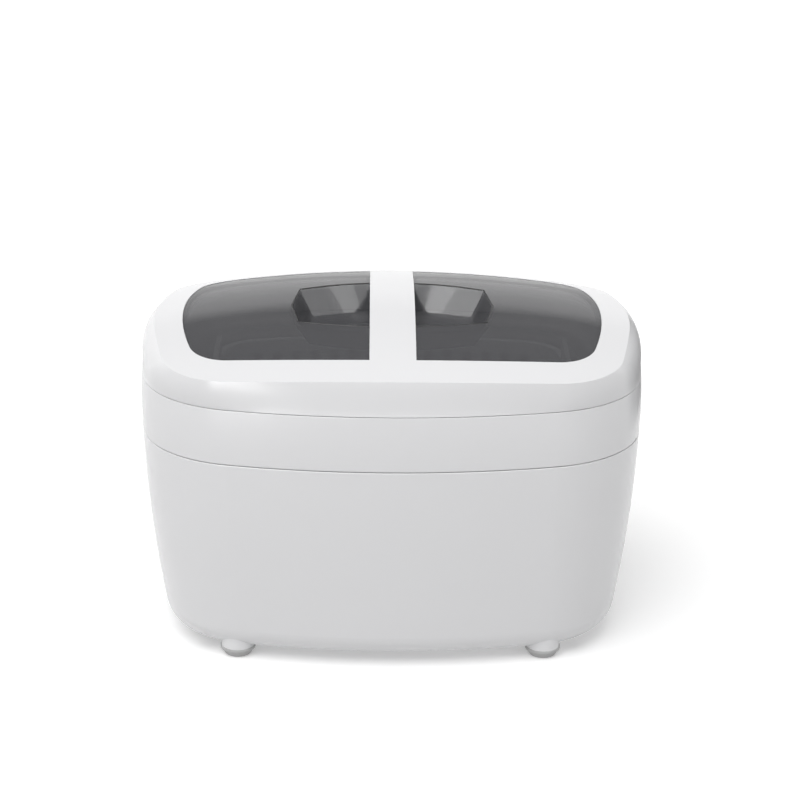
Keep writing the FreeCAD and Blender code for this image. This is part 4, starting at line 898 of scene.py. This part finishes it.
@dataclass
class Controls(SubAssembly):
    """The control panel with its display, its three buttons and the board behind them."""

    title: str = "controls"
    dish: float = 0.35 * MM
    edge: float = 0.6 * MM
    lip_width: float = 1.5 * MM
    lip_thick: float = 1.5 * MM
    mark: float = 1.7 * MM
    line: float = 0.16 * MM
    line_round: float = 0.4
    long_hand: float = 0.62
    short_hand: float = 0.5
    stroke_low: float = 0.2
    stroke_high: float = 1.15
    bar_pitch: float = 0.62
    bar_reach: float = 0.8
    power_sweep: float = 280.0
    power_start: float = -50.0
    digit_height: float = 0.62
    digit_aspect: float = 0.56
    digit_pitch: float = 1.45
    bar_share: float = 0.11
    bar_gap: float = 0.6
    bar_rise: float = 0.1 * MM
    bar_round: float = 0.03 * MM
    marks: dict[str, str] = field(default_factory=lambda: {
        "timer_button": "clock", "power_button": "power", "heater_button": "waves"})

    def own(self) -> tuple[str, ...]:
        """The panel's nodes."""
        return ("control_panel", "display_lens", "display_module", "control_board", "control_screws",
                "timer_button", "power_button", "heater_button", "button_switches")

    def make(self) -> None:
        """Turn the buttons' caps, raise their marks and set the display's segments."""
        for node in self.marks:
            self.cap(node)
        self.segments()

    def cap(self, node: str) -> None:
        """Turn one button with a rounded rim and a dished face.

        Args:
            node: The button that it stands for.
        """
        low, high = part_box(node)
        middle = centre_of(node)
        lip = (high[0] - low[0]) / 2
        radius = lip - self.lip_width
        deep = high[1] - low[1]
        profile = [(0.0, 0.0), (lip, 0.0), (lip, self.lip_thick), (radius, self.lip_thick),
                   (radius, deep - self.edge)]
        for step in range(1, 6):
            turn = math.radians(18 * step)
            profile.append((radius - self.edge * (1 - math.cos(turn)),
                            deep - self.edge * (1 - math.sin(turn))))
        for step in range(1, 6):
            share = 1 - step / 5
            profile.append(((radius - self.edge) * share, deep - self.dish * (1 - share ** 2)))
        piece = Piece(f"{node}_cap")
        piece.turned(profile, (middle[0], low[1], middle[2]), Axis.BACK, 64)
        piece.finish(node, FINISHES["button_white"], "button_white", (node,))
        self.symbol(node, Vector((middle[0], high[1] - self.dish, middle[2])))

    def symbol(self, node: str, at: Vector) -> None:
        """Lay a plain raised symbol on a button's face.

        Args:
            node: The button that carries it.
            at: The middle of the button's face.
        """
        piece = Piece(f"{node}_mark")
        thin = self.line
        size = self.mark
        kind = self.marks[node]
        if kind in ("clock", "power"):
            ring = bmesh.new()
            points = [ring.verts.new((size - thin, 0, 0)), ring.verts.new((size + thin, 0, 0)),
                      ring.verts.new((size + thin, -thin, 0)), ring.verts.new((size - thin, -thin, 0))]
            for first, second in zip(points, points[1:] + points[:1]):
                ring.edges.new((first, second))
            sweep = math.tau if kind == "clock" else math.radians(self.power_sweep)
            start = 0.0 if kind == "clock" else math.radians(self.power_start)
            made = bmesh.ops.spin(ring, geom=ring.verts[:] + ring.edges[:], cent=(0, 0, 0), axis=(0, 1, 0),
                                  dvec=(0, 0, 0), angle=sweep, steps=40, use_merge=kind == "clock")
            if kind == "power":
                bmesh.ops.contextual_create(ring, geom=points)
                bmesh.ops.contextual_create(ring, geom=[v for v in made["geom_last"]
                                                        if isinstance(v, bmesh.types.BMVert)])
            bmesh.ops.remove_doubles(ring, verts=ring.verts[:], dist=1e-8)
            bmesh.ops.recalc_face_normals(ring, faces=ring.faces[:])
            bmesh.ops.rotate(ring, verts=ring.verts[:], cent=(0, 0, 0), matrix=Matrix.Rotation(start, 3, "Y"))
            bmesh.ops.translate(ring, verts=ring.verts[:], vec=at + Vector((0, thin, 0)))
            piece.take(ring)
        round_by = thin * self.line_round
        if kind == "clock":
            piece.slab(at + Vector((-thin, 0, -thin)), at + Vector((thin, thin, size * self.long_hand)),
                       round_by, 1)
            piece.slab(at + Vector((-size * self.short_hand, 0, -thin)), at + Vector((thin, thin, thin)),
                       round_by, 1)
        elif kind == "power":
            piece.slab(at + Vector((-thin, 0, size * self.stroke_low)),
                       at + Vector((thin, thin, size * self.stroke_high)), round_by, 1)
        else:
            for step in (-1, 0, 1):
                middle = at + Vector((step * size * self.bar_pitch, 0, 0))
                piece.slab(middle + Vector((-thin, 0, -size * self.bar_reach)),
                           middle + Vector((thin, thin, size * self.bar_reach)), round_by, 1)
        piece.finish(node, MARK_GREY, None)

    def segments(self) -> None:
        """Set four seven-bar digits on the display module's face."""
        low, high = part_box("display_module")
        front = high[1] + self.bar_rise
        tall = (high[2] - low[2]) * self.digit_height
        wide = tall * self.digit_aspect
        thick = tall * self.bar_share
        gap = thick * self.bar_gap
        middle = (low[2] + high[2]) / 2
        piece = Piece("display_digits")
        for digit in (-1.5, -0.5, 0.5, 1.5):
            centre = (low[0] + high[0]) / 2 + digit * wide * self.digit_pitch
            for side in (-1, 1):
                for part in (-1, 1):
                    x = centre + side * wide / 2
                    z = middle + part * tall / 4
                    piece.slab((x - thick / 2, high[1], z - tall / 4 + gap),
                               (x + thick / 2, front, z + tall / 4 - gap), self.bar_round, 1)
            for level in (-1, 0, 1):
                z = middle + level * tall / 2
                piece.slab((centre - wide / 2 + gap, high[1], z - thick / 2),
                           (centre + wide / 2 - gap, front, z + thick / 2), self.bar_round, 1)
        piece.finish("base", SEGMENT, None)


# ---------------------------------------------------------------- studio

@dataclass
class Studio:
    """The floor, the backdrop, the lights and the camera."""

    lens: float = 112.25
    distance: float = 1.5216
    elevation: float = 20.0
    yaw: float = -0.69
    roll: float = 0.56
    target: Point = (0.00527, 0.0, 0.1327)
    floor_half: float = 6.0
    flag_azimuth: float = 42.0
    flag_distance: float = 0.36
    flag_half: tuple[float, float] = (0.16, 0.16)
    flag_tone: float = 0.12
    flag_corner: float = 0.13
    table_tone: float = 0.9
    ambient: float = 0.38
    bounce: float = 0.42
    table_glow: float = 0.26
    backdrop: float = 0.64
    sun: float = 2.1
    sun_angle: float = 55.0
    sun_way: Point = (0.2, 0.38, -0.9)
    backdrop_full: float = 0.30
    backdrop_top: float = 0.42
    backdrop_side: float = 0.5
    softbox_at: Point = (-0.50, -0.80, 0.13)
    softbox_aim: Point = (-0.085, -0.1, 0.13)
    softbox_size: tuple[float, float] = (0.34, 0.20)
    softbox_glow: float = 10.0
    strip_reach: float = 1.25
    strip_height: float = 1.35
    strip_aim: Point = (0.0, 0.03, 0.19)
    strip_size: tuple[float, float] = (1.5, 0.75)
    strip_glow: float = 3.1
    strip_turns: tuple[float, ...] = (-50.0, 0.0, 50.0)

    def build(self) -> None:
        """Set the whole studio."""
        self.floor()
        self.world()
        self.lights()
        self.camera()

    def card(self, name: str, half: tuple[float, float], place: Matrix, tone: float,
             lit: float) -> bpy.types.Object:
        """Set a flat sheet of paper in the studio.

        Args:
            name: The sheet's name.
            half: Half its width and half its height.
            place: Where it lies, from the floor plane.
            tone: How light its paper is.
            lit: How strongly it glows, as a table lit from below does.

        Returns:
            The sheet.
        """
        made = bmesh.new()
        bmesh.ops.create_grid(made, x_segments=1, y_segments=1, size=1.0)
        bmesh.ops.scale(made, verts=made.verts[:], vec=(half[0], half[1], 1.0))
        bmesh.ops.transform(made, verts=made.verts[:], matrix=place)
        mesh = bpy.data.meshes.new(name)
        made.to_mesh(mesh)
        made.free()
        shader = Shader(f"{name}_paper")
        drift = shader.effect("drift", Scale=1.5)
        paper = shader.blend(drift.outputs["Mask"], (tone,) * 3, (tone * 0.98,) * 3)
        ray = add_node(shader.tree, "LightPath")
        seen = add_node(shader.tree, "Mix")
        seen.data_type = "RGBA"
        seen.inputs[7].default_value = (*(tone * self.bounce,) * 3, 1.0)
        shader.tree.links.new(ray.outputs["Is Diffuse Ray"], seen.inputs[0])
        shader.tree.links.new(paper, seen.inputs[6])
        shader.link(seen.outputs[2], "Base Color")
        shader.link(shader.spread(drift.outputs["Mask"], 0.85, 0.95), "Roughness")
        shader.link(paper, "Emission Color")
        shader.set(Specular_IOR_Level=0.1, Emission_Strength=lit)
        mesh.materials.append(shader.material)
        item = bpy.data.objects.new(name, mesh)
        bpy.context.scene.collection.objects.link(item)
        return item

    def floor(self) -> None:
        """Lay the pale floor, and stand a dark flag out of sight that the right flank mirrors."""
        self.card("floor", (self.floor_half, self.floor_half), Matrix(), self.table_tone, self.table_glow)
        turn = Matrix.Rotation(math.radians(-self.flag_azimuth), 4, "Z")
        stand = Matrix.Rotation(math.pi / 2, 4, "X")
        away = Matrix.Translation((0.0, self.flag_distance, self.flag_half[1] + 0.002))
        corner = Matrix.Translation((self.flag_corner, 0.0, 0.0))
        flag = self.card("flag", self.flag_half, corner @ turn @ away @ stand, self.flag_tone, 0.0)
        flag.visible_camera = flag.visible_diffuse = flag.visible_shadow = False

    def world(self) -> None:
        """Fill the studio with soft white light and set the colour management."""
        scene = bpy.context.scene
        world = bpy.data.worlds.new("studio")
        world.use_nodes = True
        tree = world.node_tree
        ground = tree.nodes["Background"]
        ground.inputs["Color"].default_value = (1.0, 1.0, 1.0, 1.0)
        way = add_node(tree, "TexCoord")
        split = add_node(tree, "SeparateXYZ")
        tree.links.new(way.outputs["Generated"], split.inputs["Vector"])
        low = add_node(tree, "MapRange", From_Min=self.backdrop_full, From_Max=self.backdrop_top,
                       To_Min=self.backdrop, To_Max=0.0)
        low.interpolation_type = "SMOOTHSTEP"
        behind = add_node(tree, "MapRange", From_Min=0.0, From_Max=self.backdrop_side)
        behind.interpolation_type = "SMOOTHSTEP"
        glow = add_node(tree, "Math")
        glow.operation = "MULTIPLY_ADD"
        glow.inputs[2].default_value = self.ambient
        join(tree, (split.outputs["Z"], low.inputs["Value"]), (split.outputs["Y"], behind.inputs["Value"]),
             (low.outputs["Result"], glow.inputs[0]), (behind.outputs["Result"], glow.inputs[1]),
             (glow.outputs[0], ground.inputs["Strength"]))
        scene.world = world
        scene.view_settings.view_transform = "Standard"
        scene.view_settings.look = "None"

    def light(self, name: str, at: Point, aim: Point, size: tuple[float, float], glow: float) -> None:
        """Hang one soft box.

        Args:
            name: The light's name.
            at: Where it hangs.
            aim: The point that it faces.
            size: Its width and height.
            glow: Its radiance; it shows in reflections only.
        """
        data = bpy.data.lights.new(name, "AREA")
        data.shape = "RECTANGLE"
        data.size, data.size_y = size
        data.energy = glow * math.pi * size[0] * size[1]
        item = bpy.data.objects.new(name, data)
        item.location = at
        item.rotation_mode = "QUATERNION"
        item.rotation_quaternion = (Vector(aim) - Vector(at)).to_track_quat("-Z", "Y")
        item.visible_camera = False
        item.visible_diffuse = False
        bpy.context.scene.collection.objects.link(item)

    def lights(self) -> None:
        """Hang the broad overhead light, the small soft box in front and the strips above it."""
        data = bpy.data.lights.new("overhead", "SUN")
        data.energy = self.sun
        data.angle = math.radians(self.sun_angle)
        item = bpy.data.objects.new("overhead", data)
        item.rotation_mode = "QUATERNION"
        item.rotation_quaternion = Vector(self.sun_way).to_track_quat("-Z", "Y")
        bpy.context.scene.collection.objects.link(item)
        self.light("softbox", self.softbox_at, self.softbox_aim, self.softbox_size, self.softbox_glow)
        for turn in self.strip_turns:
            way = math.radians(turn)
            at = (self.strip_reach * math.sin(way), self.strip_aim[1] - self.strip_reach * math.cos(way),
                  self.strip_height)
            self.light(f"strip_{turn:.0f}", at, self.strip_aim, self.strip_size, self.strip_glow)

    def camera(self) -> None:
        """Set the camera at its elevation, with its small yaw and roll."""
        tilt, turn, lean = (math.radians(part) for part in (self.elevation, self.yaw, self.roll))
        back = Vector((math.sin(turn) * math.cos(tilt), -math.cos(turn) * math.cos(tilt), math.sin(tilt)))
        right = (-back).cross(Vector((0, 0, 1))).normalized()
        above = right.cross(-back)
        side = right * math.cos(lean) + above * math.sin(lean)
        top = above * math.cos(lean) - right * math.sin(lean)
        data = bpy.data.cameras.new("camera")
        data.lens = self.lens
        data.sensor_width = 36.0
        data.clip_start = 0.05
        data.clip_end = 50.0
        item = bpy.data.objects.new("camera", data)
        frame = Matrix((side, top, back)).transposed().to_4x4()
        frame.translation = Vector(self.target) + back * self.distance
        item.matrix_world = frame
        bpy.context.scene.collection.objects.link(item)
        bpy.context.scene.camera = item


def main() -> None:
    """Load the frame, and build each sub-assembly and the studio."""
    logging.basicConfig(level=logging.INFO, format="%(message)s")
    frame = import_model()
    nodes = frame["nodes"]
    slots = {part["node"]: part["material_slot"] for part in frame["record"]["subparts"]}
    for kind in (Case, Lid, Bath, Drive, Electronics, Controls):
        kind(nodes, slots).build()
    Studio().build()


if __name__ == "__main__":
    main()
